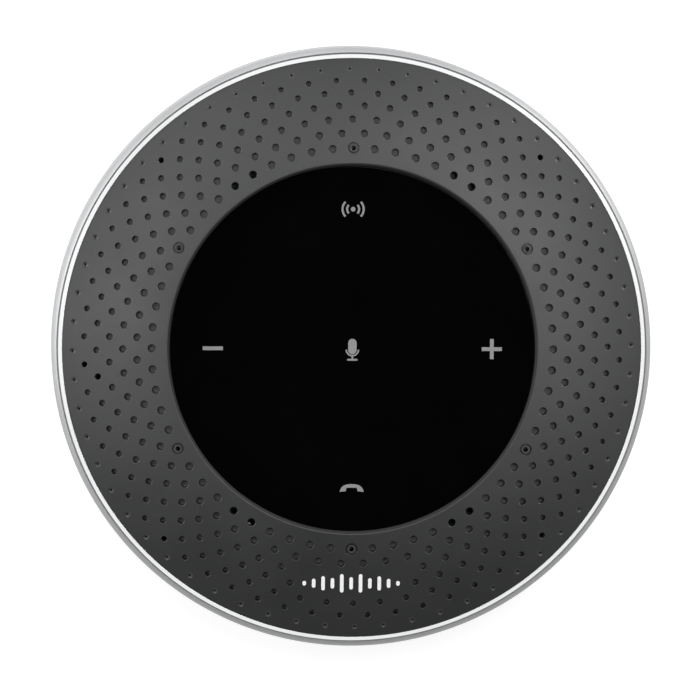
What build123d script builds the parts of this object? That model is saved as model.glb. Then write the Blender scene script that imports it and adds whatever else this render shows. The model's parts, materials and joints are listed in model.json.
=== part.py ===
from build123d import *

# Conference speakerphone: a round table-top puck with a glass touch panel, six
# microphones round it and one loudspeaker firing up under the perforated cover.
# Millimetres, +Z up, +Y to the rear where the sockets are. The origin is the centre of
# the foot ring's underside, so the part stands on Z = 0.

import os
from math import asin, atan, cos, degrees, radians, sin, sqrt, tan

# ---- driving dimensions -------------------------------------------------------------
OVERALL_DIAMETER = 125.0
OVERALL_HEIGHT = 35.5

# dome of the perforated cover: a rolled lip round the glass, then one arc of revolution
# that already slopes by the crest tilt where it leaves the roll
CREST_RADIUS = 38.7
CREST_TILT = radians(6)
DOME_EDGE_RADIUS = 60.3
DOME_EDGE_Z = 31.4
COVER_WALL = 1.5
LIP_ROLL = 0.7
LIP_SKIRT_Z = 31.2
SKIRT_WALL = 1.2
SKIRT_Z = 29.6

# the same arc: where it starts, its radius of curvature and its centre
DOME_START_RADIUS = CREST_RADIUS + LIP_ROLL * sin(CREST_TILT)
DOME_START_Z = OVERALL_HEIGHT - LIP_ROLL * (1 - cos(CREST_TILT))
DOME_RUN = DOME_EDGE_RADIUS - DOME_START_RADIUS
DOME_EDGE_TILT = 2 * atan((DOME_START_Z - DOME_EDGE_Z) / DOME_RUN) - CREST_TILT
DOME_BEND = DOME_RUN / (sin(DOME_EDGE_TILT) - sin(CREST_TILT))
DOME_AXIS_RADIUS = DOME_START_RADIUS - DOME_BEND * sin(CREST_TILT)
DOME_AXIS_Z = DOME_START_Z - DOME_BEND * cos(CREST_TILT)

# perforations: rings of equal count, each ring half a step round from the last
HOLE_RINGS = 7
HOLES_PER_RING = 60
HOLE_STEP = 360 / HOLES_PER_RING
FIRST_RING_RADIUS = 41.7
FIRST_RING_PITCH = 3.06
PITCH_SHRINK = 0.065
FIRST_HOLE_DIAMETER = 1.74
HOLE_SHRINK = 0.09
RING_TWIST = 0.13

# the revolved shell starts and ends at this angle, between the holes of every ring
SEAM_ANGLE = 1.7

MIC_STEPS = range(5, HOLES_PER_RING, 10)
OPEN_VENTS = {0: (9, 10, 20, 21, 39, 40, 50, 51), 4: (31,), 5: (7, 22, 30, 37, 52), 6: (7, 22, 37, 52)}
BLANK_PATCH = {2: range(43, 48), 3: range(43, 47)}

# microphone ports
PORT_RECESS_DIAMETER = 2.5
PORT_RECESS_DEPTH = 0.45
PORT_INSERT_DIAMETER = 1.9
PORT_BORE_DIAMETER = 0.95
PORT_FOOT_DROP = 0.3
BOOT_DIAMETER = 4.8
BOOT_LIP_DIAMETER = 3.8

# acoustic mesh glued under the cover
MESH_GAP = 0.02
MESH_THICKNESS = 0.35
MESH_INNER_RADIUS = 39.9
MESH_OUTER_RADIUS = 59.0

# glass touch panel and what is stacked under it
PANEL_RADIUS = 37.9
PANEL_TOP = 34.1
PANEL_THICKNESS = 1.6
PANEL_BOTTOM = PANEL_TOP - PANEL_THICKNESS
LEGEND_DEPTH = 0.08
LEGEND_RADIUS = 29.0
LEGEND_STROKE = 0.78
BAR_LENGTH = 4.2
TRAY_RADIUS = 37.7
TRAY_RIM_INNER = 36.2
TRAY_BOTTOM = 28.8
TRAY_FLOOR = 30.2
TRAY_RIM_TOP = 32.3
TRAY_FLANGE_RADIUS = 39.1
BOARD_IN_TRAY_RADIUS = 35.9
TOUCH_BOARD_TOP = 31.2

# metal band
BAND_RADIUS = OVERALL_DIAMETER / 2
BAND_BOTTOM = 15.0
BAND_INNER = 61.0
BAND_LEDGE_INNER = 58.0
BAND_LEDGE_TOP = SKIRT_Z
BAND_LEDGE_BOTTOM = 28.4
BAND_THROAT = 60.4

# hooks that hold cover and band on the mid frame, and the windows they catch in
HOOK_COUNT = 6
HOOK_ANGLE = 7.0
HOOK_PLAY = 0.5
BARB_BOTTOM, BARB_TOP = 26.4, 27.2
WINDOW_BOTTOM, WINDOW_TOP = 25.8, 27.4

# black base
BASE_FLAT_RADIUS = 52.0
BASE_UNDERSIDE = 1.4
BASE_FLOOR = 3.4
BASE_SHOULDER = 14.5
BASE_SKIRT_OUTER = 60.7
BASE_SKIRT_INNER = 58.2
BASE_SKIRT_TOP = 22.4
FOOT_INNER = 38.0
FOOT_OUTER = 48.0
FOOT_GROOVE_Z = 2.2
LABEL_RADIUS = 26.0
LABEL_THICKNESS = 0.15
LABEL_RECESS = 0.25
CASE_SCREW_RADIUS = 43.0
CASE_SCREW_ANGLES = (45, 135, 225, 315)
CASE_SCREW_SEAT = 4.6
CASE_BOSS_RADIUS = 3.6
SEAL_INNER, SEAL_OUTER = 58.9, 59.9
SEAL_DEPTH = 0.6

# mid frame
FRAME_TOP = 24.0
FRAME_OPENING = 24.0
FRAME_WALL_INNER = 57.2
FRAME_WALL_OUTER = 58.9
TRAY_POST_RADIUS = 33.5
TRAY_POST_ANGLES = (45, 135, 225, 315)
MIC_POST_ANGLES = (0, 120, 240)
MIC_BOARD_INNER = 39.8
MIC_BOARD_OUTER = 44.8
MIC_BOARD_BOTTOM = 29.0
MIC_BOARD_TOP = 30.0
MIC_POST_POSITION = 43.4

# main board
BOARD_INNER = 31.0
BOARD_OUTER = 56.5
BOARD_BOTTOM = 6.8
BOARD_TOP = 8.4
BOARD_START, BOARD_END = -15, 195
BOARD_SCREWS = ((51.0, -8), (51.0, 188), (35.0, 60), (35.0, 120))

# sockets and button, on a line this high in the base wall
PORT_Z = 10.0
USB_WIDTH, USB_HEIGHT = 8.94, 3.2
USB_WALL = 0.3
USB_MOUTH_Y = 60.2
USB_REAR_Y = 51.8
BUTTON_ANGLE = -24
BUTTON_WIDTH, BUTTON_HEIGHT = 9.0, 3.0
BUTTON_CLEARANCE = 0.2
BUTTON_PROUD = 0.5

# loudspeaker
FLANGE_RADIUS = 27.0
FLANGE_BOTTOM, FLANGE_TOP = 24.3, 25.3
YOKE_RADIUS, YOKE_INNER = 14.0, 11.9
YOKE_BOTTOM, YOKE_FLOOR, YOKE_TOP = 6.6, 8.6, 12.6
POLE_RADIUS = 9.9
FORMER_INNER, FORMER_OUTER = 10.4, 10.6
FORMER_TOP = 19.9
CAP_RADIUS, CAP_SEAT_INNER, CAP_SEAT = 10.8, 10.2, 20.45
MAGNET_TOP = 11.4
SPIDER_SEAT = 16.6
SPEAKER_SCREW_RADIUS = 25.4
SPEAKER_SCREW_ANGLES = (0, 90, 180, 270)

# battery
CELL_HALF_WIDTH = 26.0
CELL_NEAR_Y, CELL_FAR_Y = -18.0, -48.0
CELL_BOTTOM, CELL_TOP = 4.2, 12.4
LEAD_DIAMETER = 1.1

# flat ribbons from the touch board and the microphone board to the main board
RIBBON_WIDTH = 8.0
RIBBON_THICKNESS = 0.3
TOUCH_RIBBON_X = -31.0
MIC_RIBBON_X = -42.6
RIBBON_SLOT_HALF = 0.8

SCREW_BITE_RADIUS = 0.9


# ---- small makers -------------------------------------------------------------------
def lift(point):
    """A (radius, height) pair as a point in the XZ plane."""
    return (point[0], 0, point[1])


def turned(start, *steps):
    """Solid of revolution about Z from a closed outline of (radius, height) corners.
    A step that is a pair of points is an arc through the first to the second."""
    edges, here = [], start
    for step in (*steps, start):
        through, there = step if isinstance(step[0], tuple) else (None, step)
        if through:
            edges.append(ThreePointArc(lift(here), lift(through), lift(there)))
        elif there != here:
            edges.append(Line(lift(here), lift(there)))
        here = there
    return revolve(make_face(edges), Axis.Z)


def disc(radius, low, high):
    """Upright cylinder on the origin."""
    return Pos(0, 0, low) * Cylinder(radius, high - low, align=(Align.CENTER, Align.CENTER, Align.MIN))


def ring(inner, outer, low, high):
    """Upright tube on the origin."""
    return disc(outer, low, high) - disc(inner, low - 1, high + 1)


def block(x, y, z):
    """Box between the two values of each pair."""
    size = [high - low for low, high in (x, y, z)]
    middle = [(high + low) / 2 for low, high in (x, y, z)]
    return Pos(*middle) * Box(*size)


def turn(angle, shape):
    """The shape turned about Z."""
    return Rot(0, 0, angle) * shape


def at(radius, angle, shape):
    """The shape moved out to a radius and turned to an angle."""
    return turn(angle, Pos(radius, 0, 0) * shape)


def around(radius, angles, shape):
    """Copies of the shape at one radius and each of the angles."""
    return [at(radius, a, shape) for a in angles]


def sector(inner, outer, low, high, start, end):
    """Part of a tube between two angles."""
    arc = [radians(start + (end - start) * i / 2) for i in range(3)]
    near = [(inner * cos(a), inner * sin(a), low) for a in arc]
    far = [(outer * cos(a), outer * sin(a), low) for a in arc]
    edges = [
        ThreePointArc(*near),
        Line(near[-1], far[-1]),
        ThreePointArc(*reversed(far)),
        Line(far[0], near[0]),
    ]
    return extrude(make_face(edges), amount=high - low, dir=(0, 0, 1))


def obround(width, height, y_low, y_high):
    """Slot-shaped prism along Y, its centre at the height of the ports."""
    outline = Plane.XZ.offset(-y_high) * SlotOverall(width, height)
    return Pos(0, 0, PORT_Z) * extrude(outline, amount=y_high - y_low)


def pan_screw(head_radius, head_height, length, shank_radius=SCREW_BITE_RADIUS):
    """Cross-head screw, head up, with the underside of its head on Z = 0."""
    head = disc(head_radius, 0, head_height)
    head = fillet(head.faces().sort_by(Axis.Z)[-1].edges(), head_height * 0.45)
    cross_depth = head_height * 0.6
    arm, half = head_radius * 0.55, head_radius * 0.13
    top = (head_height - cross_depth, head_height + 1)
    cross = block((-arm, arm), (-half, half), top) + block((-half, half), (-arm, arm), top)
    return head - cross + disc(shank_radius, -length, 0)


def wire(points, diameter, share=0.45):
    """Round lead along straight runs joined by tangent arcs."""
    path = rounded_path(points, share)
    start = Plane(origin=path @ 0, z_dir=path % 0)
    return sweep(start * Circle(diameter / 2), path=path)


def rounded_path(points, share):
    """Runs between the points, with each corner's arc as large as its runs allow."""
    vectors = [Vector(*p) for p in points]
    radii = []
    for before, here, after in zip(vectors, vectors[1:], vectors[2:]):
        run_in, run_out = here - before, after - here
        turn_angle = radians(run_in.get_angle(run_out))
        shorter = min(run_in.length, run_out.length)
        radii.append(share * shorter / tan(turn_angle / 2))
    return FilletPolyline(*vectors, radius=radii)


def hook_sectors(inner, outer, low, high, play=0.0):
    """Sectors at the places of the hooks, each end wider by the play in degrees."""
    half = HOOK_ANGLE / 2 + play
    middles = [i * 360 / HOOK_COUNT for i in range(HOOK_COUNT)]
    return [sector(inner, outer, low, high, m - half, m + half) for m in middles]


def ribbon_slot(x, low, high):
    """Slot that lets a flat ribbon through a floor."""
    half = RIBBON_WIDTH / 2 + 0.6
    return block((x - RIBBON_SLOT_HALF, x + RIBBON_SLOT_HALF), (-half, half), (low, high))


# ---- the dome and its perforations --------------------------------------------------
def dome_z(radius, below=0.0):
    """Height of the dome, or of the surface a given depth below it."""
    return DOME_AXIS_Z + sqrt((DOME_BEND - below) ** 2 - (radius - DOME_AXIS_RADIUS) ** 2)


def dome_arc(start, end, below=0.0):
    """An arc step of turned(), along the dome from one radius to the other."""
    middle = (start + end) / 2
    return ((middle, dome_z(middle, below)), (end, dome_z(end, below)))


def square_to_dome(radius, angle, shape):
    """The shape with its origin on the dome and its Z axis square to it."""
    tilt = degrees(asin((radius - DOME_AXIS_RADIUS) / DOME_BEND))
    return at(radius, angle, Pos(0, 0, dome_z(radius)) * Rot(0, tilt, 0) * shape)


def ring_radius(k):
    return FIRST_RING_RADIUS + FIRST_RING_PITCH * k - PITCH_SHRINK * k * (k - 1)


def hole_diameter(k):
    return FIRST_HOLE_DIAMETER - HOLE_SHRINK * k


def hole_angle(k, n):
    half_step = HOLE_STEP / 2 if k % 2 else 0
    return half_step + HOLE_STEP * n + RING_TWIST * k


def hole_places():
    """(ring, step) of each perforation, without the microphones and the plain patch."""
    for k in range(HOLE_RINGS):
        for n in range(HOLES_PER_RING):
            if not (k == 0 and n in MIC_STEPS) and n not in BLANK_PATCH.get(k, ()):
                yield k, n


def mic_angles():
    return [hole_angle(0, n) for n in MIC_STEPS]


def microphones(shape):
    """Six copies of a shape made at radius 0, on the microphone circle."""
    return Compound(around(ring_radius(0), mic_angles(), shape))


# ---- top cover, ports and mesh ------------------------------------------------------
def cover_shell():
    roll_centre_z = OVERALL_HEIGHT - LIP_ROLL
    lip_radius = CREST_RADIUS - LIP_ROLL
    roll_half = (radians(90) + CREST_TILT) / 2
    roll_middle = (CREST_RADIUS - LIP_ROLL * cos(roll_half), roll_centre_z + LIP_ROLL * sin(roll_half))
    under_start, under_end = lip_radius + SKIRT_WALL, DOME_EDGE_RADIUS - SKIRT_WALL
    return turned(
        (lip_radius, LIP_SKIRT_Z),
        (lip_radius, roll_centre_z),
        (roll_middle, (DOME_START_RADIUS, DOME_START_Z)),
        dome_arc(DOME_START_RADIUS, DOME_EDGE_RADIUS),
        (DOME_EDGE_RADIUS, SKIRT_Z),
        (under_end, SKIRT_Z),
        (under_end, dome_z(under_end, COVER_WALL)),
        dome_arc(under_end, under_start, COVER_WALL),
        (under_start, LIP_SKIRT_Z),
    )


def top_cover():
    """Dome with its perforations square to it, and the hooks under its outer edge."""
    tabs = hook_sectors(FRAME_WALL_OUTER + 0.2, DOME_EDGE_RADIUS - 0.1, BARB_BOTTOM, SKIRT_Z + 0.2)
    barbs = hook_sectors(FRAME_WALL_OUTER - 0.6, FRAME_WALL_OUTER + 0.4, BARB_BOTTOM, BARB_TOP)
    cutters = [
        square_to_dome(ring_radius(k), hole_angle(k, n), disc(hole_diameter(k) / 2, -2, 1))
        for k, n in hole_places()
    ]
    port_z = dome_z(ring_radius(0))
    port = disc(PORT_INSERT_DIAMETER / 2, port_z - 3, port_z + 1)
    recess = disc(PORT_RECESS_DIAMETER / 2, port_z - PORT_RECESS_DEPTH, port_z + 1)
    cutters += around(ring_radius(0), mic_angles(), port)
    cutters += around(ring_radius(0), mic_angles(), recess)
    return turn(SEAM_ANGLE, cover_shell()) + tabs + barbs - cutters


def port_foot_z():
    """Height where the inserts meet the boots, clear of the sloping underside."""
    return dome_z(ring_radius(0), COVER_WALL) - PORT_FOOT_DROP


def mic_port_inserts():
    radius = PORT_INSERT_DIAMETER / 2
    top = dome_z(ring_radius(0) + radius) - 0.02
    return microphones(ring(PORT_BORE_DIAMETER / 2, radius, port_foot_z(), top))


def acoustic_mesh():
    top, bottom = COVER_WALL + MESH_GAP, COVER_WALL + MESH_GAP + MESH_THICKNESS
    sheet = turned(
        (MESH_INNER_RADIUS, dome_z(MESH_INNER_RADIUS, top)),
        dome_arc(MESH_INNER_RADIUS, MESH_OUTER_RADIUS, top),
        (MESH_OUTER_RADIUS, dome_z(MESH_OUTER_RADIUS, bottom)),
        dome_arc(MESH_OUTER_RADIUS, MESH_INNER_RADIUS, bottom),
    )
    boot_window = disc(BOOT_DIAMETER / 2 + 0.15, DOME_EDGE_Z - 4, OVERALL_HEIGHT)
    windows = around(ring_radius(0), mic_angles(), boot_window)
    for k, steps in OPEN_VENTS.items():
        vent = disc(hole_diameter(k) / 2 + 0.35, -3, 0)
        windows += [square_to_dome(ring_radius(k), hole_angle(k, n), vent) for n in steps]
    return sheet - windows


def sound_wave_mark():
    """Plain sound-wave glyph printed on the patch without holes, front and centre."""
    bar_heights = (1.0, 1.9, 3.0, 2.2, 3.9, 2.6, 3.9, 2.2, 3.0, 1.9, 1.0)
    bar_width, bar_pitch, mark_radius = 0.75, 1.95, 48.9
    ink = 0.06
    bars = []
    for i, height in enumerate(bar_heights):
        x = (i - (len(bar_heights) - 1) / 2) * bar_pitch
        outline = Pos(x, -mark_radius) * Rot(0, 0, 90) * SlotOverall(height, bar_width)
        bars.append(Pos(0, 0, DOME_EDGE_Z) * extrude(outline, amount=6))
    inner, outer = mark_radius - 4, mark_radius + 5
    film = turned(
        (inner, dome_z(inner)),
        (inner, dome_z(inner, -ink)),
        dome_arc(inner, outer, -ink),
        (outer, dome_z(outer)),
        dome_arc(outer, inner),
    )
    return Compound([piece for bar in bars for piece in (bar & film).solids()])


# ---- metal band ---------------------------------------------------------------------
def trim_band():
    chamfer_top, chamfer_outer = (BAND_THROAT, 31.5), (61.15, 31.0)
    groove_foot, shoulder = (61.3, 30.8), (61.45, 30.85)
    side_top = 27.6
    arc_middle = (62.13, 29.55)
    bottom_chamfer = 0.3
    band = turned(
        (BAND_INNER, BAND_BOTTOM),
        (BAND_RADIUS - bottom_chamfer, BAND_BOTTOM),
        (BAND_RADIUS, BAND_BOTTOM + bottom_chamfer),
        (BAND_RADIUS, side_top),
        (arc_middle, shoulder),
        groove_foot,
        chamfer_outer,
        chamfer_top,
        (BAND_THROAT, BAND_LEDGE_TOP),
        (BAND_LEDGE_INNER, BAND_LEDGE_TOP),
        (BAND_LEDGE_INNER, BAND_LEDGE_BOTTOM),
        (BAND_INNER, BAND_LEDGE_BOTTOM),
    )
    slot_z = (BAND_LEDGE_BOTTOM - 1, BAND_LEDGE_TOP + 1)
    return band - hook_sectors(BAND_LEDGE_INNER - 1, DOME_EDGE_RADIUS, *slot_z, play=HOOK_PLAY)


# ---- touch panel stack --------------------------------------------------------------
def bar_legend(upright):
    """A minus, or a plus where an upright bar is added."""
    across = Rectangle(BAR_LENGTH, LEGEND_STROKE)
    return across + Rectangle(LEGEND_STROKE, BAR_LENGTH) if upright else across


def microphone_legend():
    capsule = Rot(0, 0, 90) * SlotOverall(3.2, 1.75)
    cup_radius, cup_stroke = 1.42, 0.32
    cup = Circle(cup_radius) - Circle(cup_radius - cup_stroke)
    cup = Pos(0, -0.75) * (cup - Pos(0, cup_radius) * Rectangle(4, 2 * cup_radius))
    stem = Pos(0, -2.4) * Rectangle(0.36, 0.7)
    foot = Pos(0, -2.85) * SlotOverall(2.2, 0.38)
    return Pos(0, 0.45) * (capsule + Pos(0, 0.1) * (cup + stem + foot))


def handset_legend():
    """Hung-up handset: a flat bridge over two ear pads."""
    half, stroke, drop = 2.5, 0.75, 1.6
    outer = [
        Line((-half, 0), (-half + 0.05, 0.25)),
        ThreePointArc((-half + 0.05, 0.25), (-half + 0.7, drop - 0.42), (-half + 1.75, drop - 0.05)),
        ThreePointArc((-half + 1.75, drop - 0.05), (0, drop), (half - 1.75, drop - 0.05)),
        ThreePointArc((half - 1.75, drop - 0.05), (half - 0.7, drop - 0.42), (half - 0.05, 0.25)),
        Line((half - 0.05, 0.25), (half, 0)),
    ]
    pad = 1.25
    inner = [
        Line((half, 0), (half - pad, 0.1)),
        Line((half - pad, 0.1), (half - pad - 0.2, drop - stroke)),
        Line((half - pad - 0.2, drop - stroke), (-half + pad + 0.2, drop - stroke)),
        Line((-half + pad + 0.2, drop - stroke), (-half + pad, 0.1)),
        Line((-half + pad, 0.1), (-half, 0)),
    ]
    return Pos(0, -drop / 2) * make_face(outer + inner)


def wireless_legend():
    """Generic radio glyph: a dot between two pairs of arcs."""
    glyph = Circle(0.48)
    stroke = 0.42
    for radius in (1.25, 2.2):
        arc = Circle(radius + stroke / 2) - Circle(radius - stroke / 2)
        wedge_x = radius * 1.6
        spread = wedge_x * 0.95
        wedge = make_face(Polyline((0, 0), (wedge_x, spread), (wedge_x, -spread), close=True))
        glyph = glyph + (arc & wedge) + (arc & Rot(0, 0, 180) * wedge)
    return glyph


LEGENDS = {
    "legend_mute": (0, 0, microphone_legend),
    "legend_volume_up": (LEGEND_RADIUS, 0, lambda: bar_legend(True)),
    "legend_volume_down": (-LEGEND_RADIUS, 0, lambda: bar_legend(False)),
    "legend_call": (0, -LEGEND_RADIUS, handset_legend),
    "legend_pairing": (0, LEGEND_RADIUS, wireless_legend),
}


def legend(name):
    x, y, outline = LEGENDS[name]
    sketch = Pos(x, y, PANEL_TOP - LEGEND_DEPTH) * outline()
    return extrude(sketch, amount=LEGEND_DEPTH, dir=(0, 0, 1))


def touch_panel():
    edge = 0.25
    glass = turned(
        (0, PANEL_BOTTOM),
        (PANEL_RADIUS, PANEL_BOTTOM),
        (PANEL_RADIUS, PANEL_TOP - edge),
        (PANEL_RADIUS - edge, PANEL_TOP),
        (0, PANEL_TOP),
    )
    return glass - [legend(name) for name in LEGENDS]


def panel_adhesive():
    return ring(TRAY_RIM_INNER, TRAY_RADIUS, TRAY_RIM_TOP, PANEL_BOTTOM)


def touch_sensor_film():
    return disc(BOARD_IN_TRAY_RADIUS, TRAY_RIM_TOP, PANEL_BOTTOM)


def led_places():
    return [(x, y) for x, y, _ in LEGENDS.values()]


def light_guide():
    guide = disc(BOARD_IN_TRAY_RADIUS, TOUCH_BOARD_TOP, TRAY_RIM_TOP)
    pockets = [
        block((x - 1.1, x + 1.1), (y - 0.9, y + 0.9), (TOUCH_BOARD_TOP - 1, TOUCH_BOARD_TOP + 0.7))
        for x, y in led_places()
    ]
    return guide - pockets


def legend_leds():
    lamp_height = 0.6
    lamps = [
        block((x - 0.8, x + 0.8), (y - 0.6, y + 0.6), (TOUCH_BOARD_TOP, TOUCH_BOARD_TOP + lamp_height))
        for x, y in led_places()
    ]
    return Compound(lamps)


def tray_screw_holes(radius, low, high):
    return around(TRAY_POST_RADIUS, TRAY_POST_ANGLES, disc(radius, low, high))


def touch_board():
    board = disc(BOARD_IN_TRAY_RADIUS, TRAY_FLOOR, TOUCH_BOARD_TOP)
    return board - tray_screw_holes(2.3, TRAY_FLOOR - 1, TOUCH_BOARD_TOP + 1)


def panel_tray():
    tray = turned(
        (0, TRAY_BOTTOM),
        (TRAY_FLANGE_RADIUS, TRAY_BOTTOM),
        (TRAY_FLANGE_RADIUS, LIP_SKIRT_Z),
        (TRAY_RADIUS, LIP_SKIRT_Z),
        (TRAY_RADIUS, TRAY_RIM_TOP),
        (TRAY_RIM_INNER, TRAY_RIM_TOP),
        (TRAY_RIM_INNER, TRAY_FLOOR),
        (0, TRAY_FLOOR),
    )
    through = (TRAY_BOTTOM - 1, TRAY_FLOOR + 1)
    return tray - [ribbon_slot(TOUCH_RIBBON_X, *through), *tray_screw_holes(1.15, *through)]


def tray_screws():
    screw = Pos(0, 0, TRAY_FLOOR) * pan_screw(1.9, 0.9, 4.4)
    return Compound(around(TRAY_POST_RADIUS, TRAY_POST_ANGLES, screw))


# ---- microphones --------------------------------------------------------------------
def mic_board():
    board = ring(MIC_BOARD_INNER, MIC_BOARD_OUTER, MIC_BOARD_BOTTOM, MIC_BOARD_TOP)
    through = (MIC_BOARD_BOTTOM - 1, MIC_BOARD_TOP + 1)
    holes = around(ring_radius(0), mic_angles(), disc(0.5, *through))
    holes += around(MIC_POST_POSITION, MIC_POST_ANGLES, disc(1.05, *through))
    return board - holes


def mic_capsules():
    body_height = 1.0
    top = MIC_BOARD_BOTTOM
    return microphones(block((-1.3, 1.3), (-1.75, 1.75), (top - body_height, top)))


def mic_boots():
    """Rubber funnels that stand on the microphone board and seal against the inserts."""
    top = port_foot_z()
    shoulder_top = top - 1.0
    boot = ring(0.6, BOOT_DIAMETER / 2, MIC_BOARD_TOP, shoulder_top)
    return microphones(boot + ring(0.6, BOOT_LIP_DIAMETER / 2, shoulder_top, top))


def mic_board_screws():
    screw = Pos(0, 0, MIC_BOARD_TOP) * pan_screw(1.35, 0.7, 4.0, 0.7)
    return Compound(around(MIC_POST_POSITION, MIC_POST_ANGLES, screw))


# ---- mid frame ----------------------------------------------------------------------
def mid_frame():
    frame = turned(
        (FRAME_OPENING, BASE_SKIRT_TOP),
        (BASE_SKIRT_OUTER - 0.1, BASE_SKIRT_TOP),
        (BASE_SKIRT_OUTER - 0.1, FRAME_TOP),
        (FRAME_WALL_OUTER, FRAME_TOP),
        (FRAME_WALL_OUTER, BAND_LEDGE_BOTTOM),
        (FRAME_WALL_INNER, BAND_LEDGE_BOTTOM),
        (FRAME_WALL_INNER, FRAME_TOP),
        (FRAME_OPENING, FRAME_TOP),
    )
    posts = around(TRAY_POST_RADIUS, TRAY_POST_ANGLES, disc(2.6, FRAME_TOP, TRAY_BOTTOM))
    posts += around(MIC_POST_POSITION, MIC_POST_ANGLES, disc(1.9, FRAME_TOP, MIC_BOARD_BOTTOM))
    posts += around(CASE_SCREW_RADIUS, CASE_SCREW_ANGLES, disc(2.6, FRAME_TOP, FRAME_TOP + 1.6))
    through = (BASE_SKIRT_TOP - 1, FRAME_TOP + 1)
    tray_bite = disc(SCREW_BITE_RADIUS, FRAME_TOP, TRAY_BOTTOM + 1)
    cuts = around(TRAY_POST_RADIUS, TRAY_POST_ANGLES, tray_bite)
    cuts += around(MIC_POST_POSITION, MIC_POST_ANGLES, disc(0.7, FRAME_TOP, MIC_BOARD_BOTTOM + 1))
    cuts += around(CASE_SCREW_RADIUS, CASE_SCREW_ANGLES, disc(SCREW_BITE_RADIUS, *through))
    cuts += around(SPEAKER_SCREW_RADIUS, SPEAKER_SCREW_ANGLES, disc(0.8, *through))
    cuts += [ribbon_slot(x, *through) for x in (TOUCH_RIBBON_X, MIC_RIBBON_X)]
    wall = (FRAME_WALL_INNER - 1, FRAME_WALL_OUTER + 1)
    cuts += hook_sectors(*wall, WINDOW_BOTTOM, WINDOW_TOP, play=HOOK_PLAY)
    return frame + posts - cuts


def frame_seal():
    return ring(SEAL_INNER, SEAL_OUTER, BASE_SKIRT_TOP - SEAL_DEPTH, BASE_SKIRT_TOP)


# ---- loudspeaker --------------------------------------------------------------------
def speaker_screw_holes(radius, low, high):
    return around(SPEAKER_SCREW_RADIUS, SPEAKER_SCREW_ANGLES, disc(radius, low, high))


def speaker_gasket():
    gasket = ring(FRAME_OPENING, FLANGE_RADIUS, FRAME_TOP, FLANGE_BOTTOM)
    return gasket - speaker_screw_holes(0.9, FRAME_TOP - 1, FLANGE_TOP)


def speaker_basket():
    """Pressed frame: magnet seat, spider step, windowed cone wall and flange."""
    basket = turned(
        (12.0, YOKE_TOP),
        (17.2, YOKE_TOP),
        (17.2, 15.6),
        (19.6, 15.6),
        (23.4, 22.2),
        (23.4, FLANGE_BOTTOM),
        (FLANGE_RADIUS, FLANGE_BOTTOM),
        (FLANGE_RADIUS, FLANGE_TOP),
        (22.4, FLANGE_TOP),
        (22.4, 22.5),
        (18.9, SPIDER_SEAT),
        (16.2, SPIDER_SEAT),
        (16.2, 13.6),
        (12.0, 13.6),
    )
    windows = [sector(19.9, 24.5, 17.4, 21.6, a - 28, a + 28) for a in (45, 135, 225, 315)]
    return basket - windows - speaker_screw_holes(1.0, FRAME_TOP, FLANGE_TOP + 1)


def speaker_yoke():
    yoke = disc(YOKE_RADIUS, YOKE_BOTTOM, YOKE_TOP) - disc(YOKE_INNER, YOKE_FLOOR, YOKE_TOP + 1)
    return chamfer(yoke.faces().sort_by(Axis.Z)[0].edges(), 0.6)


def speaker_magnet():
    return disc(9.5, YOKE_FLOOR, MAGNET_TOP)


def speaker_pole_plate():
    return disc(POLE_RADIUS, MAGNET_TOP, MAGNET_TOP + 1.6)


def coil_former():
    return ring(FORMER_INNER, FORMER_OUTER, 10.5, FORMER_TOP)


def voice_coil():
    return ring(FORMER_OUTER, 11.2, 10.8, 14.4)


def speaker_cone():
    rim = 19.4
    return turned(
        (CAP_SEAT_INNER, FORMER_TOP),
        (10.8, FORMER_TOP),
        (18.3, 24.8),
        (rim, 24.8),
        (rim, FLANGE_TOP),
        (18.2, FLANGE_TOP),
        (CAP_RADIUS + 0.1, CAP_SEAT),
        (CAP_SEAT_INNER, CAP_SEAT),
    )


def dust_cap():
    thickness, rise = 0.25, 2.4
    bend = (CAP_RADIUS**2 + rise**2) / (2 * rise)
    dome = Sphere(bend) - Sphere(bend - thickness)
    return Pos(0, 0, CAP_SEAT + rise - bend) * dome & disc(CAP_RADIUS, CAP_SEAT, CAP_SEAT + rise + 1)


def speaker_surround():
    """Rubber half-roll from the cone's rim to the flange."""
    middle, roll, wall = 20.75, 1.75, 0.35
    land_start, land_end = middle + sqrt((roll + wall) ** 2 - wall**2), 23.5
    top = FLANGE_TOP
    return turned(
        (middle - roll, top),
        ((middle, top + roll), (middle + roll, top)),
        (land_end, top),
        (land_end, top + wall),
        (land_start, top + wall),
        ((middle, top + roll + wall), (middle - roll - wall, top)),
    )


def speaker_spider():
    """Corrugated damper between the coil former and the basket's step."""
    thickness, waves, wave_height = 0.3, 4, 0.7
    inner, outer = FORMER_OUTER, 16.6
    half_wave = (outer - inner) / (2 * waves)
    crests = [(inner + half_wave * i, SPIDER_SEAT + wave_height * (i % 2)) for i in range(2 * waves + 1)]
    lower = crests + [(18.6, SPIDER_SEAT)]
    upper = [(r, z + thickness) for r, z in reversed(lower)]
    return turned(*lower, *upper)


def speaker_terminals():
    board = block((-3.5, 3.5), (17.2, 18.4), (11.4, 15.5))
    tags = [block((x - 0.6, x + 0.6), (18.4, 18.7), (11.8, 14.6)) for x in (-2.2, 2.2)]
    return Compound([board, *tags])


def speaker_screws():
    screw = Pos(0, 0, FLANGE_TOP) * pan_screw(1.35, 0.8, 3.0, 0.8)
    return Compound(around(SPEAKER_SCREW_RADIUS, SPEAKER_SCREW_ANGLES, screw))


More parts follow.
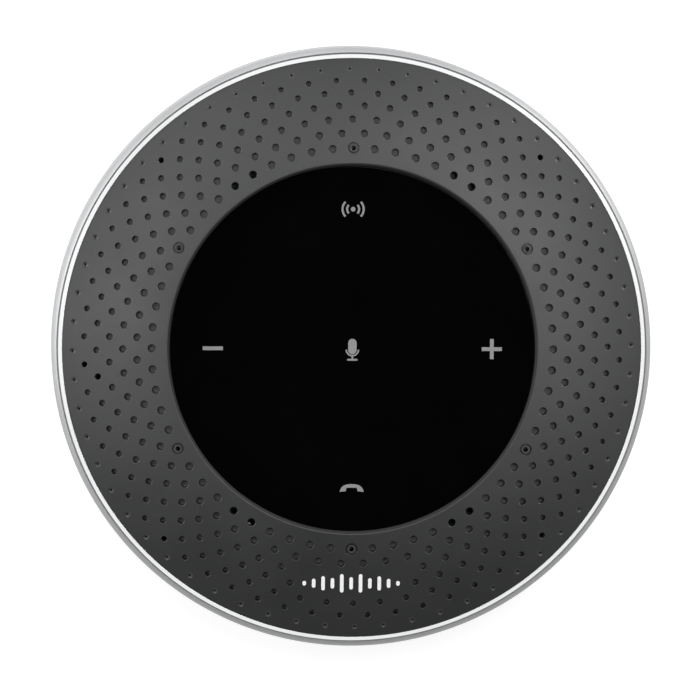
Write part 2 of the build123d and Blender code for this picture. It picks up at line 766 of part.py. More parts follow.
# ---- base ---------------------------------------------------------------------------
def base_shell():
    """Bowl with the foot's groove below and the spigot for the band above."""
    shoulder_radius, waist = 61.9, (61.2, 9.0)
    heel = (57.6, 3.55)
    wall_radius = 61.3
    return turned(
        (0, BASE_UNDERSIDE),
        (FOOT_INNER - 0.1, BASE_UNDERSIDE),
        (FOOT_INNER - 0.1, FOOT_GROOVE_Z),
        (FOOT_OUTER + 0.1, FOOT_GROOVE_Z),
        (FOOT_OUTER + 0.1, BASE_UNDERSIDE),
        (BASE_FLAT_RADIUS, BASE_UNDERSIDE),
        (heel, waist),
        (shoulder_radius, BASE_SHOULDER),
        (wall_radius, BASE_SHOULDER),
        (wall_radius, BAND_BOTTOM),
        (BASE_SKIRT_OUTER, BAND_BOTTOM),
        (BASE_SKIRT_OUTER, BASE_SKIRT_TOP),
        (BASE_SKIRT_INNER, BASE_SKIRT_TOP),
        (BASE_SKIRT_INNER, 13.5),
        (58.9, 9.4),
        ((55.9, 5.2), (51.0, BASE_FLOOR)),
        (0, BASE_FLOOR),
    )


def base_bosses():
    """Screw bosses, board posts and the ribs round the battery."""
    root = BASE_FLOOR - 0.1
    boss = disc(CASE_BOSS_RADIUS, root, BASE_SKIRT_TOP)
    bosses = around(CASE_SCREW_RADIUS, CASE_SCREW_ANGLES, boss)
    bosses += [at(r, a, disc(2.5, root, BOARD_BOTTOM)) for r, a in BOARD_SCREWS]
    gap, rib = 0.25, 1.2
    near, far = CELL_HALF_WIDTH + gap, CELL_HALF_WIDTH + gap + rib
    bosses += [block(x, (-27.0, CELL_NEAR_Y), (root, 8.5)) for x in ((-far, -near), (near, far))]
    bosses.append(block((-20, 20), (CELL_NEAR_Y + gap, CELL_NEAR_Y + gap + rib), (root, 5.6)))
    return bosses


def base_openings():
    """Seal groove, screw holes, the USB and button openings and the label's recess."""
    cuts = [ring(SEAL_INNER, SEAL_OUTER, BASE_SKIRT_TOP - SEAL_DEPTH, BASE_SKIRT_TOP + 1)]
    cuts += around(CASE_SCREW_RADIUS, CASE_SCREW_ANGLES, disc(1.15, 0, BASE_SKIRT_TOP + 1))
    cuts += around(CASE_SCREW_RADIUS, CASE_SCREW_ANGLES, disc(2.2, 0, CASE_SCREW_SEAT))
    board_bite = disc(SCREW_BITE_RADIUS, BASE_FLOOR, BOARD_BOTTOM + 1)
    cuts += [at(r, a, board_bite) for r, a in BOARD_SCREWS]
    wall = (50, 70)
    cuts.append(obround(USB_WIDTH + 0.6, USB_HEIGHT + 0.6, *wall))
    play = 2 * BUTTON_CLEARANCE
    cuts.append(turn(BUTTON_ANGLE, obround(BUTTON_WIDTH + play, BUTTON_HEIGHT + play, *wall)))
    cuts.append(disc(LABEL_RADIUS + 0.3, BASE_UNDERSIDE - 1, BASE_UNDERSIDE + LABEL_RECESS))
    return cuts


def base_housing():
    return base_shell() + base_bosses() - base_openings()


def blank_label():
    top = BASE_UNDERSIDE + LABEL_RECESS
    return disc(LABEL_RADIUS, top - LABEL_THICKNESS, top)


def foot_ring():
    edge = 0.5
    return turned(
        (FOOT_INNER + edge, 0),
        (FOOT_OUTER - edge, 0),
        (FOOT_OUTER, edge),
        (FOOT_OUTER, FOOT_GROOVE_Z),
        (FOOT_INNER, FOOT_GROOVE_Z),
        (FOOT_INNER, edge),
    )


def case_screws():
    screw = Pos(0, 0, CASE_SCREW_SEAT) * Rot(180, 0, 0) * pan_screw(2.0, 1.3, 19.6)
    return Compound(around(CASE_SCREW_RADIUS, CASE_SCREW_ANGLES, screw))


# ---- main board and what is on it ---------------------------------------------------
def main_board():
    board = sector(BOARD_INNER, BOARD_OUTER, BOARD_BOTTOM, BOARD_TOP, BOARD_START, BOARD_END)
    boss_angles = [a for a in CASE_SCREW_ANGLES if BOARD_START < a < BOARD_END]
    low, high = BOARD_BOTTOM - 1, BOARD_TOP + 1
    holes = around(CASE_SCREW_RADIUS, boss_angles, disc(CASE_BOSS_RADIUS + 0.6, low, high))
    holes += [at(r, a, disc(1.15, low, high)) for r, a in BOARD_SCREWS]
    return board - holes


def chip(x, y, width, depth, height):
    """Plain component body standing on the main board."""
    body = Box(width, depth, height, align=(Align.CENTER, Align.CENTER, Align.MIN))
    return Pos(x, y, BOARD_TOP) * body


def board_chips():
    placed = [
        (19.0, 41.0, 7.0, 7.0, 0.9),
        (-24.5, 45.5, 5.0, 5.0, 0.9),
        (49.5, 12.0, 5.0, 4.4, 0.8),
        (41.5, 18.0, 5.0, 5.0, 3.0),
        (35.5, 12.0, 4.0, 4.0, 2.0),
        (-41.0, 22.0, 6.0, 6.0, 0.9),
        (-49.0, 16.0, 3.2, 2.5, 0.9),
        (10.5, 49.5, 3.2, 1.6, 0.9),
    ]
    capacitor = Pos(0, 0, BOARD_TOP) * Cylinder(2.5, 5.4, align=(Align.CENTER, Align.CENTER, Align.MIN))
    cans = [Pos(47.5, 19.5) * capacitor, Pos(-36.5, 14.0) * capacitor]
    return Compound([chip(*place) for place in placed] + cans)


def board_sockets():
    """Plugs' headers for the battery, the speaker and the two flat ribbons."""
    ribbon_half = RIBBON_WIDTH / 2 + 1
    sockets = [
        chip(45.0, 0.0, 4.5, 6.0, 3.0),
        chip(0.0, 33.4, 6.0, 4.4, 3.0),
    ]
    for x in (TOUCH_RIBBON_X - 3.4, MIC_RIBBON_X - 3.4):
        latch = block((x - 1.5, x + 1.5), (-ribbon_half, ribbon_half), (BOARD_TOP, BOARD_TOP + 1.5))
        sockets.append(latch)
    return Compound(sockets)


def rf_shield():
    can = chip(-3.0, 43.5, 16.0, 13.0, 2.2)
    return fillet(can.edges().filter_by(Axis.Z), 1.0)


def board_screws():
    screw = Pos(0, 0, BOARD_TOP) * pan_screw(1.8, 1.0, 4.4)
    return Compound([at(r, a, screw) for r, a in BOARD_SCREWS])


def usb_c_shell():
    wall = 2 * USB_WALL
    tube = obround(USB_WIDTH, USB_HEIGHT, USB_REAR_Y, USB_MOUTH_Y)
    cavity = obround(USB_WIDTH - wall, USB_HEIGHT - wall, USB_REAR_Y + 1.0, USB_MOUTH_Y + 1)
    return tube - cavity


def usb_c_tongue():
    return block((-3.35, 3.35), (USB_REAR_Y + 1.0, USB_MOUTH_Y - 0.9), (PORT_Z - 0.35, PORT_Z + 0.35))


def power_switch():
    body = block((-2.4, 2.4), (50.9, 54.3), (BOARD_TOP, BOARD_TOP + 3.4))
    pit = block((-1.15, 1.15), (53.0, 55.0), (PORT_Z - 0.75, PORT_Z + 0.75))
    return turn(BUTTON_ANGLE, body - pit)


def switch_plunger():
    return turn(BUTTON_ANGLE, block((-1.0, 1.0), (53.5, 55.3), (PORT_Z - 0.6, PORT_Z + 0.6)))


def power_button():
    """Obround cap flush with the base wall, with the flange that keeps it in."""
    cap = obround(BUTTON_WIDTH, BUTTON_HEIGHT, 57.6, 70)
    wall_at_port = 61.3
    cap = cap & disc(wall_at_port + BUTTON_PROUD, 0, 30)
    flange = obround(BUTTON_WIDTH + 2.0, BUTTON_HEIGHT + 1.6, 56.9, 57.8)
    stem = block((-1.5, 1.5), (55.3, 57.2), (PORT_Z - 0.9, PORT_Z + 0.9))
    return turn(BUTTON_ANGLE, cap + flange + stem)


def antenna_strip():
    return sector(57.9, BASE_SKIRT_INNER, 16.0, 21.0, 20, 58)


# ---- battery and leads --------------------------------------------------------------
def battery_cell():
    width = (-CELL_HALF_WIDTH, CELL_HALF_WIDTH)
    cell = block(width, (CELL_FAR_Y, CELL_NEAR_Y), (CELL_BOTTOM, CELL_TOP))
    return fillet(cell.edges().filter_by(Axis.X), 2.4)


def battery_pad():
    return block((-22, 22), (CELL_FAR_Y + 3, CELL_NEAR_Y - 3), (BASE_FLOOR, CELL_BOTTOM))


def battery_board():
    return block((-12, 12), (CELL_FAR_Y - 1.9, CELL_FAR_Y - 0.3), (6.2, 10.6))


def battery_lead():
    """Two leads, one above the other, from the cell's board round its corner to the socket."""
    leads = []
    for rise in (0.0, -1.45):
        points = [
            (12.0, CELL_FAR_Y - 1.1, 9.8 + rise),
            (17.5, CELL_FAR_Y - 1.1, 9.8 + rise),
            (25.0, -50.2, 10.3 + rise),
            (32.6, -46.2, 11.2 + rise),
            (40.0, -36.5, 11.6 + rise),
            (45.0, -26.0, 11.5 + rise),
            (47.2, -15.5, 11.0 + rise),
            (45.4, -8.5, 10.7 + rise),
            (45.4, -3.0, 10.7 + rise),
        ]
        leads.append(wire(points, LEAD_DIAMETER))
    return Compound(leads)


def speaker_lead():
    """Two leads from the loudspeaker's tags down to the socket by the shield."""
    leads = []
    for x in (-2.2, 2.2):
        points = [
            (x, 18.7, 13.2),
            (x, 21.8, 13.2),
            (0.75 * x, 25.6, 11.8),
            (0.5 * x, 28.4, 10.2),
            (0.5 * x, 31.2, 10.2),
        ]
        leads.append(wire(points, LEAD_DIAMETER))
    return Compound(leads)


def ribbon(x, top):
    """Flat cable hanging from a board above down to its socket on the main board."""
    half_width, half_thick = RIBBON_WIDTH / 2, RIBBON_THICKNESS / 2
    socket_x = x - 3.4 + 1.5
    bend_z = BOARD_TOP + 0.9
    upright = block((x - half_thick, x + half_thick), (-half_width, half_width), (bend_z, top))
    foot_z = (bend_z - RIBBON_THICKNESS, bend_z)
    return upright + block((socket_x, x + half_thick), (-half_width, half_width), foot_z)


def touch_ribbon():
    return ribbon(TOUCH_RIBBON_X, TRAY_FLOOR)


def mic_ribbon():
    return ribbon(MIC_RIBBON_X, MIC_BOARD_BOTTOM)


# ---- write the parts ----------------------------------------------------------------
MAKERS = [
    top_cover, mic_port_inserts, acoustic_mesh, sound_wave_mark, trim_band,
    touch_panel, panel_adhesive, touch_sensor_film, light_guide, legend_leds,
    touch_board, panel_tray, tray_screws,
    mic_board, mic_capsules, mic_boots, mic_board_screws,
    mid_frame, frame_seal,
    speaker_gasket, speaker_basket, speaker_yoke, speaker_magnet, speaker_pole_plate,
    coil_former, voice_coil, speaker_cone, dust_cap, speaker_surround, speaker_spider,
    speaker_terminals, speaker_screws,
    base_housing, blank_label, foot_ring, case_screws,
    main_board, board_chips, board_sockets, rf_shield, board_screws,
    usb_c_shell, usb_c_tongue, power_switch, switch_plunger, power_button,
    antenna_strip, battery_cell, battery_pad, battery_board, battery_lead,
    speaker_lead, touch_ribbon, mic_ribbon,
]


def main():
    os.makedirs("parts", exist_ok=True)
    for maker in MAKERS:
        export_step(maker(), f"parts/{maker.__name__}.step")
    for name in LEGENDS:
        export_step(legend(name), f"parts/{name}.step")


main()
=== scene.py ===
"""Conference speakerphone: the visible shells, the glass panel, the metal band and the base, as
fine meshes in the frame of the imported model, with procedural materials, floor, light and camera."""

import json
import math

import bpy
from mathutils import Matrix, Vector


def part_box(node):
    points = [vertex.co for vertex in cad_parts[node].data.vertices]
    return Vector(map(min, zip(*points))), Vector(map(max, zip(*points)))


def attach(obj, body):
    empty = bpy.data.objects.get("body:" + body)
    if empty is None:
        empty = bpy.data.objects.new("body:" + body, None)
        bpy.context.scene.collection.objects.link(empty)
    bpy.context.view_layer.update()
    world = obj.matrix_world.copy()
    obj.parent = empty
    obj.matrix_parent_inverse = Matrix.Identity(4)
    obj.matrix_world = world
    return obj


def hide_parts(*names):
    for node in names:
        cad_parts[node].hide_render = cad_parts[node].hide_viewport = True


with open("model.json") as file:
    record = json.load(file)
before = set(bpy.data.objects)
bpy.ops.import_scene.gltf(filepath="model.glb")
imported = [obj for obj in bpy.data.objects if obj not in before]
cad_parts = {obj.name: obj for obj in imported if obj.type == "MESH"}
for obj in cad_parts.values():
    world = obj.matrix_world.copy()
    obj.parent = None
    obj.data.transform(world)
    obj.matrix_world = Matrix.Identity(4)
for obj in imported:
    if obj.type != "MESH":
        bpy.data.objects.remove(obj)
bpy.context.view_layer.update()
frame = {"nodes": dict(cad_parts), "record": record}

MM = 0.001


def box_mm(node):
    """A node's lowest and highest corners in millimetres, rounded past the meshing error."""
    low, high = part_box(node)
    return [round(v / MM, 1) for v in low], [round(v / MM, 1) for v in high]


# ---- sizes in millimetres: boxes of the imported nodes, then what the boxes don't show ---------
BAND_LOW, BAND_HIGH = box_mm("trim_band")
COVER_HIGH = box_mm("top_cover")[1]
PANEL_LOW, PANEL_HIGH = box_mm("touch_panel")
BASE_LOW, BASE_HIGH = box_mm("base_housing")
FOOT_HIGH = box_mm("foot_ring")[1]
LABEL_HIGH = box_mm("blank_label")[1]
USB_LOW, USB_HIGH = box_mm("usb_c_shell")

# dome of the cover: a rolled lip, then one arc of revolution down to the edge, which
# already slopes by the crest tilt where it leaves the roll
CREST_RADIUS, CREST_Z = 38.7, COVER_HIGH[2]
CREST_TILT = math.radians(6)
DOME_EDGE_RADIUS, DOME_EDGE_Z = COVER_HIGH[0] - 0.05, 31.4
COVER_WALL, LIP_ROLL, SKIRT_WALL = 1.5, 0.7, 1.2
LIP_SKIRT_RADIUS, LIP_SKIRT_Z, SKIRT_Z = 39.2, 31.2, 29.6
EDGE_ROUND = 0.06

# inside this radius the roll takes a darker, matt, low-gloss copy of the cover plastic: painted shade
# where the lip rolls down to the glass
SHADED_LIP_RADIUS = 38.56

# perforations: rings of equal count, each ring half a step round from the last
HOLE_RINGS, HOLES_PER_RING = 7, 60
FIRST_RING_RADIUS, FIRST_RING_PITCH, PITCH_SHRINK = 41.7, 3.06, 0.065
FIRST_HOLE_DIAMETER, HOLE_SHRINK = 1.74, 0.09
STEP_ANGLE, RING_TWIST = 360 / HOLES_PER_RING, 0.13
BLANK_PATCH = {2: range(43, 48), 3: range(43, 47)}

# every hole's mouth is a little wider than the hole; the outermost ring's holes are shallow
# cones, of a slope in degrees, over a narrow bore
MOUTH_FLARE, HOLE_ROUND = 0.06, 0.12
DISH_BORE, DISH_SLOPE = 0.2, 19.0

# microphone ports: every tenth place of the first ring
MIC_STEPS = range(5, HOLES_PER_RING, 10)
PORT_RECESS_RADIUS, PORT_RECESS_DEPTH, PORT_ROUND = 1.25, 0.6, 0.06
PORT_INSERT_RADIUS, PORT_BORE_RADIUS = 0.95, 0.475

# each hole sits in a cell whose border has this many points to a side; the cells reach past
# the first and the last ring by the margins, and one without a hole is filled round its heart
CELL_SIDE = 6
LATTICE = HOLES_PER_RING * CELL_SIDE
INNER_MARGIN, OUTER_MARGIN, BLANK_HEART = 1.5, 1.3, 0.8

LATHE_STEPS = 288
PORT_Z = (USB_LOW[2] + USB_HIGH[2]) / 2
BUTTON_ANGLE = math.radians(-24)
BUTTON_WIDTH, BUTTON_HEIGHT, BUTTON_FACE_RADIUS = 9.0, 3.0, 61.8
LABEL_SEAT_DEPTH = 0.25


# ---- outlines -------------------------------------------------------------------------------
def arc_through(start, middle, end, steps):
    """Points after start along the arc through three (radius, height) points."""
    (ax, ay), (bx, by), (cx, cy) = start, middle, end
    d = 2 * (ax * (by - cy) + bx * (cy - ay) + cx * (ay - by))
    a2, b2, c2 = ax * ax + ay * ay, bx * bx + by * by, cx * cx + cy * cy
    ux = (a2 * (by - cy) + b2 * (cy - ay) + c2 * (ay - by)) / d
    uy = (a2 * (cx - bx) + b2 * (ax - cx) + c2 * (bx - ax)) / d
    first = math.atan2(ay - uy, ax - ux)
    sweep = (math.atan2(cy - uy, cx - ux) - first + math.pi) % (2 * math.pi) - math.pi
    radius = math.hypot(ax - ux, ay - uy)
    angles = [first + sweep * (i + 1) / steps for i in range(steps)]
    return [(ux + radius * math.cos(a), uy + radius * math.sin(a)) for a in angles]


def rounded(corners, steps=5):
    """Closed outline from (x, y) corners, where a third value rounds that corner off."""
    points = []
    for i, corner in enumerate(corners):
        here = Vector(corner[:2])
        if len(corner) == 2:
            points.append(tuple(here))
            continue
        back = (Vector(corners[i - 1][:2]) - here).normalized()
        ahead = (Vector(corners[(i + 1) % len(corners)][:2]) - here).normalized()
        half = back.angle(ahead) / 2
        reach = corner[2] / math.tan(half)
        centre = here + (back + ahead).normalized() * (corner[2] / math.sin(half))
        start, end = here + back * reach, here + ahead * reach
        middle = centre + (here - centre).normalized() * corner[2]
        points.append(tuple(start))
        points += arc_through(tuple(start), tuple(middle), tuple(end), steps)
    return points


def obround(width, height, steps=10):
    """Outline of a slot shape, long in x, as (x, y) points."""
    radius, half = height / 2, (width - height) / 2
    points = []
    for side in (1, -1):
        for i in range(steps + 1):
            a = math.radians(-90 + 180 * i / steps)
            points.append((side * (half + radius * math.cos(a)), side * radius * math.sin(a)))
    return points


# ---- pieces ---------------------------------------------------------------------------------
def add_piece(name, points, faces, materials, face_materials=None, normals=None, sharp=40):
    """A mesh piece from points in millimetres, smooth but for edges sharper than an angle."""
    mesh = bpy.data.meshes.new(name)
    mesh.from_pydata([tuple(v * MM for v in p) for p in points], [], faces)
    for material in materials:
        mesh.materials.append(material)
    if face_materials:
        mesh.polygons.foreach_set("material_index", face_materials)
    mesh.validate()
    finish_shading(mesh, sharp)
    if normals:
        mesh.normals_split_custom_set_from_vertices(normals)
    piece = bpy.data.objects.new(name, mesh)
    bpy.context.collection.objects.link(piece)
    if not normals:
        flatten_faces(piece)
    return piece


def quads_between(loop, after):
    """Faces that join two loops of point numbers, of equal length."""
    pairs = list(zip(loop, after))
    return [(a, b, d, c) for (a, b), (c, d) in zip(pairs, pairs[1:] + pairs[:1])]


def flatten_faces(piece):
    """Lets the large flat faces keep their own normals beside small rounded edges."""
    weigh = piece.modifiers.new("weigh_normals", "WEIGHTED_NORMAL")
    weigh.keep_sharp = True


def finish_shading(mesh, sharp):
    """Smooth faces, with sharp edges where they meet at more than an angle in degrees."""
    mesh.polygons.foreach_set("use_smooth", [True] * len(mesh.polygons))
    mesh.set_sharp_from_angle(angle=math.radians(sharp))
    mesh.update()


def stand_for(piece, slot, *nodes, body="housing"):
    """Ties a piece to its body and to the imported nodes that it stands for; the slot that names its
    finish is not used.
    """
    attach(piece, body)
    if nodes:
        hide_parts(*nodes)
    return piece


def lathe(outline, steps=LATHE_STEPS, centre=(0.0, 0.0)):
    """Points and faces of a closed (radius, height) outline turned about an upright axis."""
    points, faces, rings = [], [], []
    for radius, z in outline:
        if radius < 1e-6:
            rings.append([len(points)] * steps)
            points.append((centre[0], centre[1], z))
            continue
        rings.append(list(range(len(points), len(points) + steps)))
        for i in range(steps):
            a = 2 * math.pi * i / steps
            points.append((centre[0] + radius * math.cos(a), centre[1] + radius * math.sin(a), z))
    for ring, above in zip(rings, rings[1:] + rings[:1]):
        for i in range(steps):
            j = (i + 1) % steps
            face = (ring[i], ring[j], above[j], above[i])
            corners = tuple(dict.fromkeys(face))
            if len(corners) > 2:
                faces.append(corners)
    return points, faces


def lathe_piece(name, outline, material, sharp=40):
    points, faces = lathe(outline)
    return add_piece(name, points, faces, [material], sharp=sharp)


# ---- materials ------------------------------------------------------------------------------
def node_material(name):
    """A material with an empty tree but for its shader; returns it and two short helpers."""
    material = bpy.data.materials.new(name)
    material.use_nodes = True
    tree = material.node_tree
    shader = tree.nodes["Principled BSDF"]

    def add(kind, **values):
        node = tree.nodes.new(kind)
        for key, value in values.items():
            setattr(node, key, value)
        return node

    return material, shader, add, tree.links.new


def speckle(add, link, scale, detail=2.0, roughness=0.6):
    """Noise in the object's own coordinates, at a number of grains to the metre."""
    where = add("ShaderNodeTexCoord")
    noise = add("ShaderNodeTexNoise")
    noise.inputs["Scale"].default_value = scale
    noise.inputs["Detail"].default_value = detail
    noise.inputs["Roughness"].default_value = roughness
    link(where.outputs["Object"], noise.inputs["Vector"])
    return noise.outputs["Fac"]


def spread(add, link, source, low, high):
    """Maps the middle of a noise to values from low to high."""
    ranged = add("ShaderNodeMapRange")
    for socket, value in zip(("From Min", "From Max", "To Min", "To Max"), (0.3, 0.7, low, high)):
        ranged.inputs[socket].default_value = value
    link(source, ranged.inputs["Value"])
    return ranged.outputs["Result"]


def tint(add, link, source, color, change):
    """A colour that a noise makes a little darker and lighter."""
    ramp = add("ShaderNodeValToRGB")
    ends = ramp.color_ramp.elements
    ends[0].position, ends[1].position = 0.3, 0.7
    ends[0].color = (*[c * (1 - change) for c in color], 1)
    ends[1].color = (*[c * (1 + change) for c in color], 1)
    link(source, ramp.inputs["Fac"])
    return ramp.outputs["Color"]


def bump(add, link, shader, height, depth_mm):
    """Bump of a depth in millimetres at full strength."""
    node = add("ShaderNodeBump")
    node.inputs["Strength"].default_value = 1.0
    node.inputs["Distance"].default_value = depth_mm * MM
    link(height, node.inputs["Height"])
    link(node.outputs["Normal"], shader.inputs["Normal"])


def moulded(name, color, roughness, grain_mm=0.12, depth_mm=0.006, change=0.08, specular=0.5):
    """Moulded plastic or rubber: a fine eroded grain and slow, faint changes of shade."""
    material, shader, add, link = node_material(name)
    grain = speckle(add, link, 1 / (grain_mm * MM), detail=3)
    cloud = speckle(add, link, 60, detail=4)
    link(tint(add, link, cloud, color, change), shader.inputs["Base Color"])
    link(spread(add, link, cloud, roughness - 0.04, roughness + 0.04), shader.inputs["Roughness"])
    shader.inputs["Specular IOR Level"].default_value = specular
    bump(add, link, shader, grain, depth_mm)
    return material


def metal(name, color, roughness, grain_mm=0.1, depth_mm=0.003, change=0.04):
    """Bare or plated metal with a fine blasted or rolled grain."""
    material, shader, add, link = node_material(name)
    shader.inputs["Metallic"].default_value = 1.0
    grain = speckle(add, link, 1 / (grain_mm * MM), detail=2)
    cloud = speckle(add, link, 90, detail=3)
    link(tint(add, link, cloud, color, change), shader.inputs["Base Color"])
    link(spread(add, link, cloud, roughness - 0.03, roughness + 0.03), shader.inputs["Roughness"])
    bump(add, link, shader, grain, depth_mm)
    return material


def axis_distance(add, link):
    """Distance from the upright axis through the object's middle, in metres."""
    where = add("ShaderNodeTexCoord")
    flat = add("ShaderNodeVectorMath", operation="MULTIPLY")
    flat.inputs[1].default_value = (1, 1, 0)
    length = add("ShaderNodeVectorMath", operation="LENGTH")
    link(where.outputs["Object"], flat.inputs[0])
    link(flat.outputs["Vector"], length.inputs[0])
    return length.outputs["Value"]


def turned_metal(name, color, roughness, cut_mm=0.05, depth_mm=0.0004):
    """Diamond-cut metal: close turning lines round the axis, over a bright polished face."""
    material, shader, add, link = node_material(name)
    shader.inputs["Metallic"].default_value = 1.0
    lines = add("ShaderNodeTexNoise", noise_dimensions="1D")
    lines.inputs["Scale"].default_value = 1 / (cut_mm * MM)
    lines.inputs["Detail"].default_value = 1.0
    link(axis_distance(add, link), lines.inputs["W"])
    cloud = speckle(add, link, 70, detail=3)
    link(tint(add, link, cloud, color, 0.02), shader.inputs["Base Color"])
    link(spread(add, link, cloud, roughness - 0.02, roughness + 0.02), shader.inputs["Roughness"])
    bump(add, link, shader, lines.outputs["Fac"], depth_mm)
    return material


def panel_glass(name):
    """Black-backed cover glass: deep gloss, with faint smudges where fingers touch it."""
    material, shader, add, link = node_material(name)
    smudge = speckle(add, link, 55, detail=5, roughness=0.65)
    link(tint(add, link, smudge, (0.0012, 0.0012, 0.0013), 0.15), shader.inputs["Base Color"])
    link(spread(add, link, smudge, 0.03, 0.055), shader.inputs["Roughness"])
    shader.inputs["IOR"].default_value = 1.5
    ripple = speckle(add, link, 25, detail=1)
    bump(add, link, shader, ripple, 0.002)
    return material


def woven(name, color, thread_mm=0.14, depth_mm=0.02, roughness=(0.75, 0.9)):
    """Plain weave along the object's X and Y, its roughness between that of gaps and threads."""
    material, shader, add, link = node_material(name)
    where = add("ShaderNodeTexCoord")
    waves = []
    for direction in ("X", "Y"):
        wave = add("ShaderNodeTexWave", bands_direction=direction, wave_profile="SIN")
        wave.inputs["Scale"].default_value = 1 / (thread_mm * MM) / 3.3
        wave.inputs["Distortion"].default_value = 0.3
        link(where.outputs["Object"], wave.inputs["Vector"])
        waves.append(wave.outputs["Fac"])
    weave = add("ShaderNodeMath", operation="MULTIPLY")
    link(waves[0], weave.inputs[0])
    link(waves[1], weave.inputs[1])
    ramp = add("ShaderNodeValToRGB")
    ramp.color_ramp.elements[0].color = (*[c * 0.6 for c in color], 1)
    ramp.color_ramp.elements[1].color = (*color, 1)
    link(weave.outputs["Value"], ramp.inputs["Fac"])
    link(ramp.outputs["Color"], shader.inputs["Base Color"])
    link(spread(add, link, weave.outputs["Value"], *roughness), shader.inputs["Roughness"])
    bump(add, link, shader, weave.outputs["Value"], depth_mm)
    return material


def circuit_board(name):
    """Green laminate with darker runs of buried copper."""
    material, shader, add, link = node_material(name)
    where = add("ShaderNodeTexCoord")
    runs = add("ShaderNodeTexBrick")
    runs.inputs["Scale"].default_value = 220
    runs.inputs["Color1"].default_value = (0.010, 0.060, 0.030, 1)
    runs.inputs["Color2"].default_value = (0.014, 0.080, 0.040, 1)
    runs.inputs["Mortar"].default_value = (0.006, 0.035, 0.020, 1)
    link(where.outputs["Object"], runs.inputs["Vector"])
    link(runs.outputs["Color"], shader.inputs["Base Color"])
    cloud = speckle(add, link, 120)
    link(spread(add, link, cloud, 0.3, 0.4), shader.inputs["Roughness"])
    bump(add, link, shader, runs.outputs["Fac"], 0.02)
    return material


MATERIALS = {
    "cover_plastic": moulded("cover_plastic", (0.0220, 0.0226, 0.0226), 0.40, 0.16, 0.003, 0.03),
    "port_plastic": moulded("port_plastic", (0.022, 0.023, 0.023), 0.42, 0.12, 0.003),
    "mesh_fabric": woven("mesh_fabric", (0.092, 0.093, 0.093), roughness=(0.42, 0.5)),
    "mark_ink": moulded("mark_ink", (0.92, 0.92, 0.92), 0.45, 0.1, 0.003, 0.02),
    "band_aluminium": metal("band_aluminium", (0.30, 0.303, 0.307), 0.58, 0.09, 0.003, 0.015),
    "panel_glass": panel_glass("panel_glass"),
    "legend_ink": moulded("legend_ink", (0.225, 0.225, 0.225), 0.30, 0.08, 0.002, 0.05),
    "clear_plastic": moulded("clear_plastic", (0.70, 0.72, 0.73), 0.15, 0.5, 0.001),
    "foam_adhesive": moulded("foam_adhesive", (0.020, 0.020, 0.020), 0.85, 0.25, 0.05),
    "seal_rubber": moulded("seal_rubber", (0.025, 0.025, 0.027), 0.70, 0.2, 0.01),
    "board_laminate": circuit_board("board_laminate"),
    "component_black": moulded("component_black", (0.015, 0.015, 0.016), 0.45, 0.1, 0.005),
    "led_white": moulded("led_white", (0.75, 0.75, 0.62), 0.35, 0.1, 0.002),
    "frame_plastic": moulded("frame_plastic", (0.020, 0.020, 0.021), 0.55, 0.2, 0.01),
    "base_plastic": moulded("base_plastic", (0.018, 0.018, 0.019), 0.50, 0.22, 0.012, 0.1),
    "button_plastic": moulded("button_plastic", (0.026, 0.026, 0.028), 0.42, 0.15, 0.005, 0.1),
    "steel": metal("steel", (0.52, 0.52, 0.53), 0.38),
    "screw_steel": metal("screw_steel", (0.42, 0.42, 0.44), 0.32),
    "nickel_magnet": metal("nickel_magnet", (0.62, 0.60, 0.56), 0.22),
    "coil_copper": metal("coil_copper", (0.72, 0.32, 0.16), 0.35, 0.2, 0.03),
    "cone_paper": moulded("cone_paper", (0.022, 0.022, 0.022), 0.85, 0.4, 0.04),
    "spider_cloth": woven("spider_cloth", (0.45, 0.28, 0.10), 0.35, 0.05),
    "surround_rubber": moulded("surround_rubber", (0.018, 0.018, 0.018), 0.55, 0.3, 0.008),
    "shield_tin": metal("shield_tin", (0.62, 0.62, 0.60), 0.30),
    "socket_steel": metal("socket_steel", (0.55, 0.55, 0.56), 0.28, 0.12, 0.002),
    "cell_foil": metal("cell_foil", (0.60, 0.60, 0.62), 0.40, 0.6, 0.02),
    "lead_insulation": moulded("lead_insulation", (0.28, 0.015, 0.012), 0.50, 0.3, 0.004),
    "ribbon_film": moulded("ribbon_film", (0.40, 0.17, 0.03), 0.30, 0.5, 0.002),
    "label_film": moulded("label_film", (0.060, 0.061, 0.063), 0.45, 0.3, 0.003, 0.04),
    "foot_rubber": moulded("foot_rubber", (0.016, 0.016, 0.017), 0.78, 0.25, 0.015, 0.12),
}
POLISHED_EDGE = turned_metal("polished_edge", (0.80, 0.805, 0.81), 0.14)
# darker, duller copy of the cover plastic for the lip's roll: painted shade in place of the roll's
# highlight
SHADED_LIP = moulded("shaded_lip", (0.016, 0.0164, 0.0164), 0.62, 0.16, 0.004, 0.03, specular=0.12)


def dress_packed_nodes():
    """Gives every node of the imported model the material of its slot."""
    slots = {part["node"]: part["material_slot"] for part in frame["record"]["subparts"]}
    for node, piece in frame["nodes"].items():
        piece.data.materials.clear()
        piece.data.materials.append(MATERIALS[slots[node]])


# ---- perforated cover -----------------------------------------------------------------------
DOME_START_RADIUS = CREST_RADIUS + LIP_ROLL * math.sin(CREST_TILT)
DOME_START_Z = CREST_Z - LIP_ROLL * (1 - math.cos(CREST_TILT))
DOME_RUN, DOME_FALL = DOME_EDGE_RADIUS - DOME_START_RADIUS, DOME_START_Z - DOME_EDGE_Z
DOME_EDGE_TILT = 2 * math.atan(DOME_FALL / DOME_RUN) - CREST_TILT
DOME_BEND = DOME_RUN / (math.sin(DOME_EDGE_TILT) - math.sin(CREST_TILT))
DOME_AXIS_RADIUS = DOME_START_RADIUS - DOME_BEND * math.sin(CREST_TILT)
DOME_AXIS_Z = DOME_START_Z - DOME_BEND * math.cos(CREST_TILT)


def dome_z(radius, below=0.0):
    """Height of the dome, or of the surface a given depth below it."""
    return DOME_AXIS_Z + math.sqrt((DOME_BEND - below) ** 2 - (radius - DOME_AXIS_RADIUS) ** 2)


